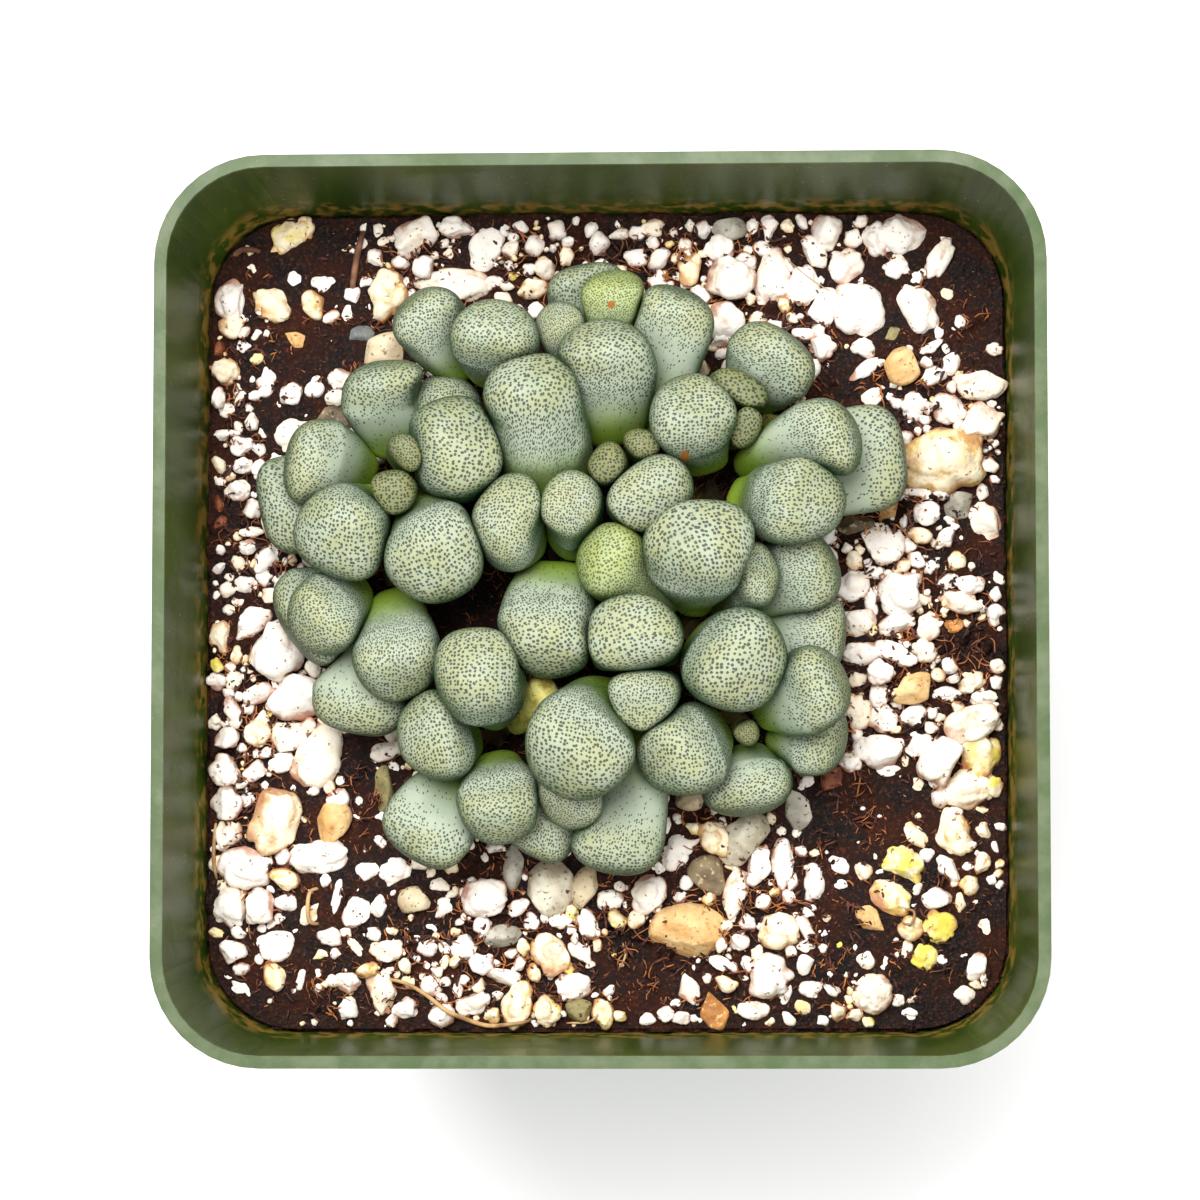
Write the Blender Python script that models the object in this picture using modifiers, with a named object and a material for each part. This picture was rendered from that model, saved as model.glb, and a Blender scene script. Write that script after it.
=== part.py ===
"""A clump-forming dotted succulent in a small square plastic nursery pot.

The pot stands on the plane z = 0 with the centre of its underside at the origin.
+X is the pot's right, +Y its back and +Z up. Sizes below are in millimetres, and MM turns
them into Blender's metres.
"""

import math
from collections import namedtuple

import bmesh
import bpy
import numpy as np
from mathutils import Matrix, Vector

MM = 0.001

# Pot: a tapered square tub with a collar round its top and five drain holes in its floor.
RIM_WIDTH = 63.5  # across the rim, along X
RIM_DEPTH = 65.0  # across the rim, along Y
POT_HEIGHT = 58.0
FLOOR_WIDTH = 45.0  # across the underside, along X
FLOOR_DEPTH = 46.5
RIM_CORNER = 7.8  # radius of the rim's corners, seen from above
FLOOR_CORNER = 6.0
WALL = 0.9
COLLAR_HEIGHT = 14.0
COLLAR_STEP = 0.8  # how far the collar stands out from the wall under it
FLOOR_FILLET = 1.2
CORNER_SEGMENTS = 10
DRAIN_HOLE = 6.0  # diameter
DRAIN_SPREAD = 0.62  # holes sit this share of the way out to the floor's corner
DRAIN_SEGMENTS = 20

# Potting mix: fills the pot to a little under the rim.
SOIL_BELOW_RIM = 11.0
SOIL_CROWN = 0.8  # the mix is this much higher in the middle than at the wall
FIT = 0.35  # gap between any two pieces that touch

# Rootstock: a stout root with a short branch up to each rosette.
ROOT_DEPTH = 20.0  # below the surface of the mix
ROOT_THICKNESS = 5.0
BRANCH_THICKNESS = 2.2
STEM_RISE = 1.0  # each branch ends this far above the mix, under its leaves
LIMB_SIDES = 10
ROOT_CENTRE = (-1.0, 4.0)

# Plant
CLUMP_SPAN = 46.0  # widest span of the leaves, along X
CROWN_RISE = 1.0  # height of the lowest leaves' necks above the mix
NECK_LIFT = 0.32  # a leaf that ends higher springs from higher up, by this share of its height
NECK_OFFSET = 3.2  # the lowest leaves spring from this far round the middle of their crown
NECK_INSET = 0.09  # and higher ones from nearer to it, by this share of their height
LEAF_GAP = 0.55  # between pressed leaves; their facets bulge into a little of it
SKIRT = 7.5  # bare mix between the clump and the wall
LEAF_SIDES = 10
LEAF_STATIONS = (0.0, 0.2, 0.42, 0.64)  # rings on the leaf's body, as shares of its length
DOME_STATIONS = (0.0, 0.45, 0.75, 0.93)  # rings on its rounded end
DOME_POWER = 2.7  # 2 closes the end in an ellipse, and more makes its face flatter
SQUARENESS = 0.78  # 1 gives an elliptical section, and less a squarer one
SPINE_SAMPLES = 16
PRESS_STEPS = 32
THINNEST = 0.12  # share of its full section that a leaf keeps however hard it is pressed
NEIGHBOUR_RANGE = 16.0  # leaves further apart than this are never pressed together

# Loose pebble on the mix
PEBBLE_FROM_MIDDLE = 5.9
PEBBLE_FROM_FRONT = 7.0  # from the mix's front edge to the pebble's middle
PEBBLE_SIZE = (5.8, 4.3, 3.2)

LEAF_GREEN = (0.30, 0.41, 0.27)
YOUNG_GREEN = (0.33, 0.38, 0.19)
WITHERED_YELLOW = (0.52, 0.47, 0.16)
POT_GREEN = (0.06, 0.09, 0.035)
SOIL_BROWN = (0.045, 0.022, 0.012)
ROOT_BROWN = (0.16, 0.12, 0.05)
PEBBLE_TAN = (0.62, 0.40, 0.20)

# Where each rosette's crown stands, from the pot's centre.
CROWNS = {
    "west": (-15.0, 9.8),
    "west_low": (-15.8, 3.3),
    "north_west": (-8.7, 15.7),
    "north": (1.4, 10.8),
    "north_back": (0.2, 16.3),
    "north_east": (8.0, 9.4),
    "north_east_young": (9.0, 13.9),
    "middle": (-3.4, 4.9),
    "east": (6.4, -0.9),
    "south": (2.8, -3.7),
    "south_east": (9.8, -7.8),
    "south_west": (-8.2, -8.6),
}

# A leaf grows out of its crown towards azimuth (degrees from +X, anticlockwise seen from
# above). Its end is reach out from the crown and height above the mix, where it points
# lean degrees above the horizon. width and thick are its largest, waist is its neck's
# share of them, keel how far its section narrows away from the crown, and twist turns the
# section about the leaf's own axis.
Leaf = namedtuple(
    "Leaf",
    "name crown azimuth reach height lean width thick waist keel twist",
    defaults=(0.55, 0.2, 0),
)

LEAVES = (
    # west
    Leaf("west_bud_back", "west", 38, 2.2, 11.2, 85, 3.2, 2.4, 0.95),
    Leaf("west_bud_front", "west", 283, 1.6, 10.9, 85, 3.2, 3.4, 0.95),
    Leaf("west_outer", "west", 172, 7.4, 8.0, 15, 6.2, 5.0),
    Leaf("west_outer_low", "west", 193, 9.8, 5.0, 5, 6.8, 4.6),
    Leaf("west_front", "west", 232, 6.4, 11.5, 62, 6.8, 6.2, 0.55, -0.15, -15),
    Leaf("west_inner", "west", 300, 7.9, 12.0, 66, 7.2, 6.4),
    Leaf("west_right", "west", 20, 6.2, 11.5, 66, 7.4, 6.6, 0.55, 0.0),
    Leaf("west_back", "west", 92, 7.9, 7.5, 25, 6.4, 5.0),
    # west_low
    Leaf("west_low_front", "west_low", 281, 8.6, 9.5, 45, 5.9, 5.2, 0.6),
    Leaf("west_low_left", "west_low", 223, 6.8, 9.0, 45, 5.4, 4.8),
    Leaf("west_low_outer", "west_low", 218, 8.0, 5.0, 15, 7.6, 4.6),
    Leaf("west_low_skirt", "west_low", 260, 11.8, 4.6, 0, 6.4, 4.6),
    # north_west
    Leaf("north_west_outer", "north_west", 125, 8.2, 7.5, 25, 5.2, 4.8),
    Leaf("north_west_top", "north_west", 72, 5.3, 10.0, 50, 6.2, 5.2),
    Leaf("north_west_small", "north_west", 185, 4.8, 7.5, 40, 3.9, 3.4),
    # north
    Leaf("north_bud_left", "north", 223, 1.1, 10.0, 80, 2.9, 3.2, 0.9),
    Leaf("north_bud_right", "north", 25, 2.1, 9.8, 80, 2.6, 2.8, 0.9),
    Leaf("north_top", "north", 100, 8.9, 10.5, 40, 7.0, 5.4),
    Leaf("north_front", "north", 308, 4.1, 11.5, 75, 6.6, 5.4),
    Leaf("north_right", "north", 71, 12.8, 7.0, 20, 6.0, 4.8),
    # north_back
    Leaf("north_back_scarred", "north_back", 83, 7.7, 7.5, 35, 5.0, 4.2),
    Leaf("north_back_outer", "north_back", 100, 9.0, 4.8, 10, 5.6, 4.4),
    Leaf("north_back_left", "north_back", 126, 6.0, 7.5, 55, 3.6, 3.6),
    # north_east
    Leaf("north_east_left", "north_east", 107, 5.6, 11.5, 60, 6.4, 5.8),
    Leaf("north_east_right", "north_east", 17, 10.4, 10.0, 20, 5.8, 5.0),
    Leaf("north_east_outer", "north_east", 9, 13.7, 4.6, 5, 7.2, 4.6),
    Leaf("north_east_front", "north_east", 346, 7.6, 11.5, 60, 6.6, 6.2),
    Leaf("north_east_back", "north_east_young", 53, 7.3, 6.0, 15, 6.2, 4.6),
    # north_east_young
    Leaf("north_east_young_back", "north_east_young", 60, 2.0, 9.5, 80, 4.8, 2.6, 0.9),
    Leaf("north_east_young_front", "north_east_young", 325, 1.4, 9.5, 85, 4.2, 2.4, 0.9),
    # middle
    Leaf("middle_back", "middle", 97, 12.0, 11.8, 45, 7.3, 6.0, 0.75, 0.0),
    Leaf("middle_right", "middle", 64, 3.0, 11.0, 80, 5.2, 5.6, 0.8),
    Leaf("middle_left", "middle", 150, 4.0, 11.0, 72, 6.9, 5.6, 0.6, 0.1),
    Leaf("middle_front", "middle", 268, 8.6, 10.5, 40, 6.9, 5.4, 0.7),
    # east
    Leaf("east_top", "east", 83, 6.4, 13.5, 62, 8.0, 6.8, 0.5, -0.15),
    Leaf("east_left", "east", 140, 8.5, 10.5, 40, 5.8, 5.4),
    Leaf("east_front", "east", 320, 6.0, 11.8, 55, 7.2, 6.6, 0.6),
    Leaf("east_back", "east", 42, 6.0, 10.0, 65, 5.4, 4.4),
    Leaf("east_right", "east", 26, 10.9, 7.0, 20, 5.8, 4.6),
    Leaf("east_skirt", "east", 357, 10.8, 4.8, 5, 5.8, 4.4),
    # south
    Leaf("south_bud_back", "south", 105, 2.3, 12.2, 82, 6.9, 5.4, 0.8, 0.25, 4),
    Leaf("south_bud_front", "south", 266, 3.3, 10.8, 80, 6.0, 5.4, 0.8, 0.3),
    Leaf("south_left", "south", 236, 9.7, 13.0, 45, 7.4, 6.4),
    Leaf("south_long", "south", 262, 14.8, 6.0, 10, 6.2, 4.6),
    Leaf("south_under", "south", 243, 12.1, 8.0, 40, 4.8, 3.8),
    Leaf("south_skirt", "south", 237, 15.6, 4.0, 0, 5.4, 4.0),
    # south_east
    Leaf("south_east_bud", "south_east", 303, 1.1, 8.0, 88, 1.4, 1.4, 0.9),
    Leaf("south_east_left", "south_east", 208, 6.4, 10.0, 45, 6.4, 5.8),
    Leaf("south_east_right", "south_east", 23, 7.5, 9.5, 30, 5.8, 5.0),
    Leaf("south_east_low", "south_east", 350, 7.3, 5.5, 20, 5.4, 4.4),
    Leaf("south_east_front", "south_east", 276, 6.3, 5.5, 15, 6.4, 4.6),
    # south_west
    Leaf("south_west_top", "south_west", 93, 5.0, 12.5, 60, 6.5, 6.8, 0.55, -0.15),
    Leaf("south_west_front", "south_west", 281, 7.1, 8.5, 35, 5.6, 5.0),
    Leaf("south_west_left", "south_west", 180, 4.4, 9.5, 60, 6.5, 5.5),
    Leaf("south_west_low", "south_west", 237, 10.3, 5.0, 5, 6.2, 4.6),
    Leaf("south_west_withered", "south_west", 36, 5.4, 7.5, 45, 2.2, 2.0, 1.0),
)

YELLOW_LEAVES = ("south_west_withered", "north_back_scarred")


def soil_height():
    """Height of the middle of the mix above the underside of the pot."""
    return POT_HEIGHT - SOIL_BELOW_RIM


def clump_scale():
    """Leaves at full size where the pot has room for them, and smaller in a smaller pot."""
    room = min(RIM_WIDTH, RIM_DEPTH) - 2 * SKIRT
    return min(1.0, room / CLUMP_SPAN)


# ---------------------------------------------------------------- leaves

def smooth_step(x):
    x = np.clip(x, 0.0, 1.0)
    return x * x * (3 - 2 * x)


class LeafForm:
    """A leaf as a spine with an egg-shaped section that swells, then closes in a dome."""

    def __init__(self, leaf):
        scale = clump_scale()
        self.leaf = leaf
        base_height = soil_height()
        around = math.radians(leaf.azimuth)
        outward = np.array([math.cos(around), math.sin(around), 0.0])
        self.side = np.array([math.sin(around), -math.cos(around), 0.0])
        crown = np.array([*CROWNS[leaf.crown], 0.0]) * scale
        start_out = min(0.4 * leaf.reach, NECK_OFFSET - NECK_INSET * leaf.height)
        self.start = crown + outward * start_out * scale
        self.start[2] = base_height + (CROWN_RISE + NECK_LIFT * leaf.height) * scale
        self.end = crown + outward * leaf.reach * scale
        self.end[2] = base_height + leaf.height * scale
        lean = math.radians(leaf.lean)
        pointing = outward * math.cos(lean) + np.array([0.0, 0.0, math.sin(lean)])
        chord = np.linalg.norm(self.end - self.start)
        self.knee = self.end - pointing * chord * 0.55
        self.half_width = leaf.width / 2 * scale
        self.half_thick = leaf.thick / 2 * scale
        self.dome_from = max(0.45, 1 - 0.95 * self.half_thick / chord)

    def spine(self, t):
        t = np.asarray(t, float)[:, None]
        return (1 - t) ** 2 * self.start + 2 * t * (1 - t) * self.knee + t ** 2 * self.end

    def frames(self, t):
        """Unit vectors across the leaf and out of its upper face, at each t."""
        t = np.asarray(t, float)[:, None]
        along = 2 * (1 - t) * (self.knee - self.start) + 2 * t * (self.end - self.knee)
        along /= np.linalg.norm(along, axis=1, keepdims=True)
        upper = np.cross(self.side, along)
        upper /= np.linalg.norm(upper, axis=1, keepdims=True)
        across = np.cross(along, upper)
        turn = math.radians(self.leaf.twist)
        turned_across = across * math.cos(turn) + upper * math.sin(turn)
        turned_upper = upper * math.cos(turn) - across * math.sin(turn)
        return turned_across, turned_upper, along

    def girth(self, t):
        """Share of the full section at each t: a neck, a swelling and a round end."""
        t = np.asarray(t, float)
        swell = self.leaf.waist + (1 - self.leaf.waist) * smooth_step(t / 0.62)
        closing = np.clip((t - self.dome_from) / (1 - self.dome_from), 0.0, 1.0)
        return swell * (1 - closing ** DOME_POWER) ** (1 / DOME_POWER)

    def stations(self):
        body = [s * self.dome_from / 0.7 for s in LEAF_STATIONS if s < 0.69]
        dome = [self.dome_from + s * (1 - self.dome_from) for s in DOME_STATIONS]
        return np.array(body + dome)

    def rings(self):
        """Ring points, shape (rings, sides, 3), and the spine point of each ring."""
        t = self.stations()
        centre = self.spine(t)
        across, upper, _ = self.frames(t)
        girth = self.girth(t)
        turn = np.arange(LEAF_SIDES) * 2 * math.pi / LEAF_SIDES
        wide = np.cos(turn)
        high = np.sin(turn)
        wide = np.sign(wide) * np.abs(wide) ** SQUARENESS * (1 + self.leaf.keel * high)
        high = np.where(high > 0, 0.92 * np.abs(high) ** SQUARENESS, -1.06 * np.abs(high) ** 0.9)
        points = (
            centre[:, None]
            + (self.half_width * girth)[:, None, None] * wide[None, :, None] * across[:, None]
            + (self.half_thick * girth)[:, None, None] * high[None, :, None] * upper[:, None]
        )
        return points, centre

    def blobs(self):
        """The leaf as overlapping ellipsoids: their centres and unit-sphere maps."""
        t = (np.arange(SPINE_SAMPLES) + 0.5) / SPINE_SAMPLES
        centre = self.spine(t)
        across, upper, along = self.frames(t)
        girth = np.maximum(self.girth(t), 0.15)
        half_width = self.half_width * girth
        half_thick = self.half_thick * girth
        half_length = np.minimum(half_width, half_thick)
        to_unit = np.stack(
            [
                across / half_width[:, None],
                upper / half_thick[:, None],
                along / half_length[:, None],
            ],
            axis=1,
        )
        return centre, to_unit


def depth_outside(points, blobs):
    """Distance from each point out to the nearest ellipsoid; negative inside one."""
    centre, to_unit = blobs
    offset = points[:, None] - centre[None]
    stretched = np.einsum("bij,pbj->pbi", to_unit, offset)
    reach = np.maximum(np.linalg.norm(stretched, axis=2), 1e-6)
    return (np.linalg.norm(offset, axis=2) * (1 - 1 / reach)).min(axis=1)


def press_together(forms):
    """Ring points of every leaf, drawn in towards its spine where it meets a neighbour.

    Two leaves that would overlap meet halfway between their surfaces, LEAF_GAP apart.
    """
    blobs = [form.blobs() for form in forms]
    rings = [form.rings() for form in forms]
    floor = soil_height() + SOIL_CROWN / 2 + FIT
    pressed = []
    for i, (points, centre) in enumerate(rings):
        outer = points.reshape(-1, 3)
        inner = np.repeat(centre, points.shape[1], axis=0)
        near = []
        for j, other in enumerate(blobs):
            apart = np.linalg.norm(forms[j].spine([0.6]) - forms[i].spine([0.6]))
            if j != i and apart < NEIGHBOUR_RANGE:
                near.append(other)
        keep = np.full(len(outer), THINNEST)
        free = np.ones(len(outer), bool)
        for share in np.linspace(THINNEST, 1.0, PRESS_STEPS):
            trial = inner + (outer - inner) * share
            own = depth_outside(trial, blobs[i])
            free &= trial[:, 2] >= floor
            for other in near:
                free &= depth_outside(trial, other) - own >= LEAF_GAP
            keep = np.where(free, share, keep)
        moved = inner + (outer - inner) * keep[:, None]
        moved[:, 2] = np.maximum(moved[:, 2], floor)
        pressed.append(moved.reshape(points.shape))
    return pressed


def make_leaf(form, ring_points, collection):
    """One leaf: its rings lofted, a flat foot at the stem and a pole at the tip."""
    rings, sides, _ = ring_points.shape
    outermost = ring_points[-1].mean(axis=0)
    pole = outermost + (form.end - form.spine([form.stations()[-1]])[0])
    points = [tuple(p * MM) for p in ring_points.reshape(-1, 3)] + [tuple(pole * MM)]
    faces = [tuple(range(sides))]
    for ring in range(rings - 1):
        for k in range(sides):
            a, b = ring * sides + k, ring * sides + (k + 1) % sides
            faces.append((b, a, a + sides, b + sides))
    last = (rings - 1) * sides
    for k in range(sides):
        faces.append((last + (k + 1) % sides, last + k, len(points) - 1))
    name = "leaf_" + form.leaf.name
    mesh = bpy.data.meshes.new(name)
    mesh.from_pydata(points, [], faces)
    obj = add_object(name, mesh, collection)
    face_outward(obj)
    return obj


# ---------------------------------------------------------------- helpers

def clear_scene():
    for obj in list(bpy.data.objects):
        bpy.data.objects.remove(obj, do_unlink=True)


def new_collection(name):
    collection = bpy.data.collections.new(name)
    bpy.context.scene.collection.children.link(collection)
    return collection


def add_object(name, mesh, collection):
    obj = bpy.data.objects.new(name, mesh)
    collection.objects.link(obj)
    return obj


def face_outward(obj):
    edit = bmesh.new()
    edit.from_mesh(obj.data)
    bmesh.ops.recalc_face_normals(edit, faces=edit.faces)
    edit.to_mesh(obj.data)
    edit.free()
    obj.data.shade_smooth()


def as_cutter(obj):
    obj.hide_render = True
    obj.display_type = "WIRE"


def cut(target, cutter):
    boolean = target.modifiers.new("cut_" + cutter.name, "BOOLEAN")
    boolean.operation = "DIFFERENCE"
    boolean.object = cutter


def material(name, colour, roughness, metallic=0.0):
    mat = bpy.data.materials.new(name)
    mat.use_nodes = True
    shader = mat.node_tree.nodes["Principled BSDF"]
    shader.inputs["Base Color"].default_value = (*colour, 1.0)
    shader.inputs["Roughness"].default_value = roughness
    shader.inputs["Metallic"].default_value = metallic
    return mat


# ---------------------------------------------------------------- pot and mix

def rounded_outline(half_x, half_y, radius, height):
    """Points of a rectangle with round corners, anticlockwise, at one height."""
    points = []
    for corner in range(4):
        x = (half_x - radius) * (1 if corner in (0, 3) else -1)
        y = (half_y - radius) * (1 if corner < 2 else -1)
        for k in range(CORNER_SEGMENTS + 1):
            turn = math.radians(90 * (corner + k / CORNER_SEGMENTS))
            points.append((x + radius * math.cos(turn), y + radius * math.sin(turn), height))
    return points


def collar_foot():
    return POT_HEIGHT - COLLAR_HEIGHT


def pot_section(height, inset=0.0):
    """Outline of the pot's tapered outside at one height, drawn in by inset."""
    share = height / POT_HEIGHT
    if height >= collar_foot():
        inset -= COLLAR_STEP
    half_x = (FLOOR_WIDTH + (RIM_WIDTH - 2 * COLLAR_STEP - FLOOR_WIDTH) * share) / 2
    half_y = (FLOOR_DEPTH + (RIM_DEPTH - 2 * COLLAR_STEP - FLOOR_DEPTH) * share) / 2
    radius = FLOOR_CORNER + (RIM_CORNER - COLLAR_STEP - FLOOR_CORNER) * share
    return rounded_outline(half_x - inset, half_y - inset, radius - inset, height)


def loft(name, outlines, collection, close_top):
    """Skin through the outlines, closed at the bottom, and at the top if asked."""
    sides = len(outlines[0])
    points = [tuple(c * MM for c in p) for outline in outlines for p in outline]
    faces = [tuple(reversed(range(sides)))]
    for ring in range(len(outlines) - 1):
        for k in range(sides):
            a, b = ring * sides + k, ring * sides + (k + 1) % sides
            faces.append((a, b, b + sides, a + sides))
    if close_top:
        faces.append(tuple(range(len(points) - sides, len(points))))
    mesh = bpy.data.meshes.new(name)
    mesh.from_pydata(points, [], faces)
    return add_object(name, mesh, collection)


def make_pot(collection, cutters):
    """Open skin of the outside, made into a wall by Solidify, with its floor drilled."""
    outlines = [
        pot_section(0.0, FLOOR_FILLET),
        pot_section(FLOOR_FILLET * 0.3, FLOOR_FILLET * 0.3),
        pot_section(FLOOR_FILLET),
        pot_section(collar_foot() - COLLAR_STEP),
        pot_section(collar_foot()),
        pot_section(POT_HEIGHT),
    ]
    pot = loft("nursery_pot", outlines, collection, close_top=False)
    shell = pot.modifiers.new("wall", "SOLIDIFY")
    shell.thickness = WALL * MM
    shell.offset = -1.0
    shell.use_even_offset = True
    reach_x = (FLOOR_WIDTH / 2) * DRAIN_SPREAD
    reach_y = (FLOOR_DEPTH / 2) * DRAIN_SPREAD
    spots = [(0, 0)] + [(sx * reach_x, sy * reach_y) for sx in (-1, 1) for sy in (-1, 1)]
    for number, (x, y) in enumerate(spots):
        bpy.ops.mesh.primitive_cylinder_add(
            vertices=DRAIN_SEGMENTS,
            radius=DRAIN_HOLE / 2 * MM,
            depth=6 * WALL * MM,
            location=(x * MM, y * MM, 0.0),
        )
        drill = bpy.context.object
        drill.name = f"drain_cutter_{number}"
        move_to(drill, cutters)
        as_cutter(drill)
        cut(pot, drill)
    return pot


def move_to(obj, collection):
    for old in list(obj.users_collection):
        old.objects.unlink(obj)
    collection.objects.link(obj)


def make_mix(collection):
    """The mass of mix, shaped by the pot's inside, with a slightly crowned top."""
    surface = soil_height() - SOIL_CROWN / 2
    bottom = WALL + FIT
    gap = WALL + FIT
    ledge = collar_foot() + WALL + FIT  # the wall's inside has stepped out by here
    outlines = [pot_section(bottom, gap + FLOOR_FILLET), pot_section(bottom + 4.0, gap)]
    if surface > ledge:
        outlines.append(pot_section(collar_foot() - COLLAR_STEP, gap))
        outlines.append(pot_section(ledge, gap))
        skirt = pot_section(surface, gap)
    else:
        skirt = pot_section(surface, gap + (COLLAR_STEP if surface >= collar_foot() else 0.0))
    outlines.append(skirt)
    for share in (0.72, 0.4):
        lift = SOIL_CROWN * (1 - share ** 2)
        outlines.append([(x * share, y * share, surface + lift) for x, y, _ in skirt])
    return loft("potting_mix", outlines, collection, close_top=True)


# ---------------------------------------------------------------- rootstock and pebble

def root_limbs():
    """The rootstock's limbs: where each starts and ends, and its radius at both."""
    scale = clump_scale()
    surface = soil_height() - SOIL_CROWN / 2
    x, y = (c * scale for c in ROOT_CENTRE)
    heart = np.array([x, y, surface - ROOT_DEPTH * 0.4])
    stout, slim = ROOT_THICKNESS / 2 * scale, BRANCH_THICKNESS / 2 * scale
    limbs = [(np.array([x, y, surface - ROOT_DEPTH]), heart, 0.3 * stout, stout)]
    for cx, cy in CROWNS.values():
        crown = np.array([cx * scale, cy * scale, surface + STEM_RISE * scale])
        limbs.append((heart - (0, 0, 0.6 * stout), crown, slim, 0.8 * slim))
    return limbs


def make_limb(name, limb, collection, swell=0.0):
    """A tapered round bar between two points, swell fatter and longer all round."""
    start, end, start_radius, end_radius = limb
    length = np.linalg.norm(end - start)
    along = Vector((end - start) / length)
    edit = bmesh.new()
    bmesh.ops.create_cone(
        edit,
        cap_ends=True,
        segments=LIMB_SIDES,
        radius1=(start_radius + swell) * MM,
        radius2=(end_radius + swell) * MM,
        depth=(length + 2 * swell) * MM,
    )
    turn = along.to_track_quat("Z", "Y").to_matrix().to_4x4()
    middle = Vector((start + end) / 2 * MM)
    bmesh.ops.transform(edit, matrix=Matrix.Translation(middle) @ turn, verts=edit.verts)
    mesh = bpy.data.meshes.new(name)
    edit.to_mesh(mesh)
    edit.free()
    return add_object(name, mesh, collection)


def make_rootstock(collection, cutters):
    """The stout root with its branches joined on."""
    root, *branches = root_limbs()
    stock = make_limb("rootstock", root, collection)
    for number, branch in enumerate(branches):
        limb = make_limb(f"root_branch_{number}", branch, cutters)
        as_cutter(limb)
        join = stock.modifiers.new(limb.name, "BOOLEAN")
        join.operation = "UNION"
        join.object = limb
    return stock


def make_pebble(name, collection, swell=0.0):
    bpy.ops.mesh.primitive_uv_sphere_add(segments=16, ring_count=10, radius=1.0)
    pebble = bpy.context.object
    pebble.name = name
    for vertex in pebble.data.vertices:
        x, y, z = vertex.co
        taper = 1 + 0.18 * x
        vertex.co = (
            (PEBBLE_SIZE[0] / 2 + swell) * MM * x,
            (PEBBLE_SIZE[1] / 2 + swell) * MM * y * taper,
            (PEBBLE_SIZE[2] / 2 + swell) * MM * z,
        )
    front = min(y for _, y, _ in pot_section(soil_height(), WALL + FIT))
    pebble.location = (
        PEBBLE_FROM_MIDDLE * MM,
        (front + PEBBLE_FROM_FRONT) * MM,
        soil_height() * MM,
    )
    move_to(pebble, collection)
    return pebble


def main():
    clear_scene()
    parts = new_collection("potted_succulent")
    cutters = new_collection("cutters")
    leaf_skin = material("leaf_skin", LEAF_GREEN, 0.5)
    young_skin = material("young_leaf_skin", YOUNG_GREEN, 0.5)
    yellow_skin = material("yellow_leaf_skin", WITHERED_YELLOW, 0.6)

    pot = make_pot(parts, cutters)
    pot.data.materials.append(material("pot_plastic", POT_GREEN, 0.45))
    mix = make_mix(parts)
    mix.data.materials.append(material("peat_mix", SOIL_BROWN, 0.95))
    root = make_rootstock(parts, cutters)
    root.data.materials.append(material("root_bark", ROOT_BROWN, 0.8))
    pebble = make_pebble("tan_pebble", parts)
    pebble.data.materials.append(material("pebble_stone", PEBBLE_TAN, 0.7))
    beds = [make_pebble("pebble_bed", cutters, swell=FIT)]
    for number, limb in enumerate(root_limbs()):
        beds.append(make_limb(f"root_bed_{number}", limb, cutters, swell=FIT))
    for bed in beds:
        as_cutter(bed)
        cut(mix, bed)

    forms = [LeafForm(leaf) for leaf in LEAVES]
    for form, ring_points in zip(forms, press_together(forms)):
        leaf = make_leaf(form, ring_points, parts)
        young = "_bud" in form.leaf.name or "_young" in form.leaf.name
        skin = young_skin if young else leaf_skin
        leaf.data.materials.append(yellow_skin if form.leaf.name in YELLOW_LEAVES else skin)


if __name__ == "__main__":
    main()
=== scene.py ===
"""Looks of the dotted succulent in its square nursery pot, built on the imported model's frame.

Sizes are in millimetres where a name or a comment says so, and MM turns them into metres.
"""

import math

import bmesh
import bpy
import numpy as np
from mathutils import Matrix, Vector
from mathutils.bvhtree import BVHTree


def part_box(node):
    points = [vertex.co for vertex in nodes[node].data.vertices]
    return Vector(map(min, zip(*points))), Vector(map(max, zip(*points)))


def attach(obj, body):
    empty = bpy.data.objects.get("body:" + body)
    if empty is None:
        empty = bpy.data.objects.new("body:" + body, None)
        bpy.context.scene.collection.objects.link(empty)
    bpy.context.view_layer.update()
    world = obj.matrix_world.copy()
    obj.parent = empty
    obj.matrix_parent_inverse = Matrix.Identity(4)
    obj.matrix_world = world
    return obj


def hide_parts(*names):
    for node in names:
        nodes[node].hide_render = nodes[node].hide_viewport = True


MM = 0.001
SEED = 20

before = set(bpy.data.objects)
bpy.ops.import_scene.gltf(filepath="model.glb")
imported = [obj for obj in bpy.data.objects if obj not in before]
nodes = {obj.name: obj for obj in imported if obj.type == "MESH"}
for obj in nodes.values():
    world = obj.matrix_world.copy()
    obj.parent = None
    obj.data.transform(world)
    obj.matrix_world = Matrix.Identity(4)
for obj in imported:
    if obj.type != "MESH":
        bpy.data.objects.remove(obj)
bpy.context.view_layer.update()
random = np.random.default_rng(SEED)


# ---------------------------------------------------------------- numbers and meshes

def lattice_noise(points, seed):
    """Smooth noise from -1 to 1 with one cell per unit."""
    cell = np.floor(points)
    blend = points - cell
    blend = blend * blend * (3 - 2 * blend)
    total = np.zeros(len(points))
    for corner in range(8):
        step = np.array([corner & 1, corner >> 1 & 1, corner >> 2 & 1])
        key = (cell + step) @ np.array([127.1, 311.7, 74.7]) + seed * 53.3
        value = np.modf(np.abs(np.sin(key) * 43758.5453))[0]
        weight = np.where(step, blend, 1 - blend).prod(axis=1)
        total += value * weight
    return total * 2 - 1


def fractal_noise(points, seed, octaves=3):
    total = np.zeros(len(points))
    for octave in range(octaves):
        total += lattice_noise(points * 2.0 ** octave, seed + octave) / 2.0 ** octave
    return total


def soft_step(x, low, high):
    t = np.clip((x - low) / (high - low), 0.0, 1.0)
    return t * t * (3 - 2 * t)


def mesh_points(mesh):
    points = np.empty(len(mesh.vertices) * 3)
    mesh.vertices.foreach_get("co", points)
    return points.reshape(-1, 3)


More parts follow.
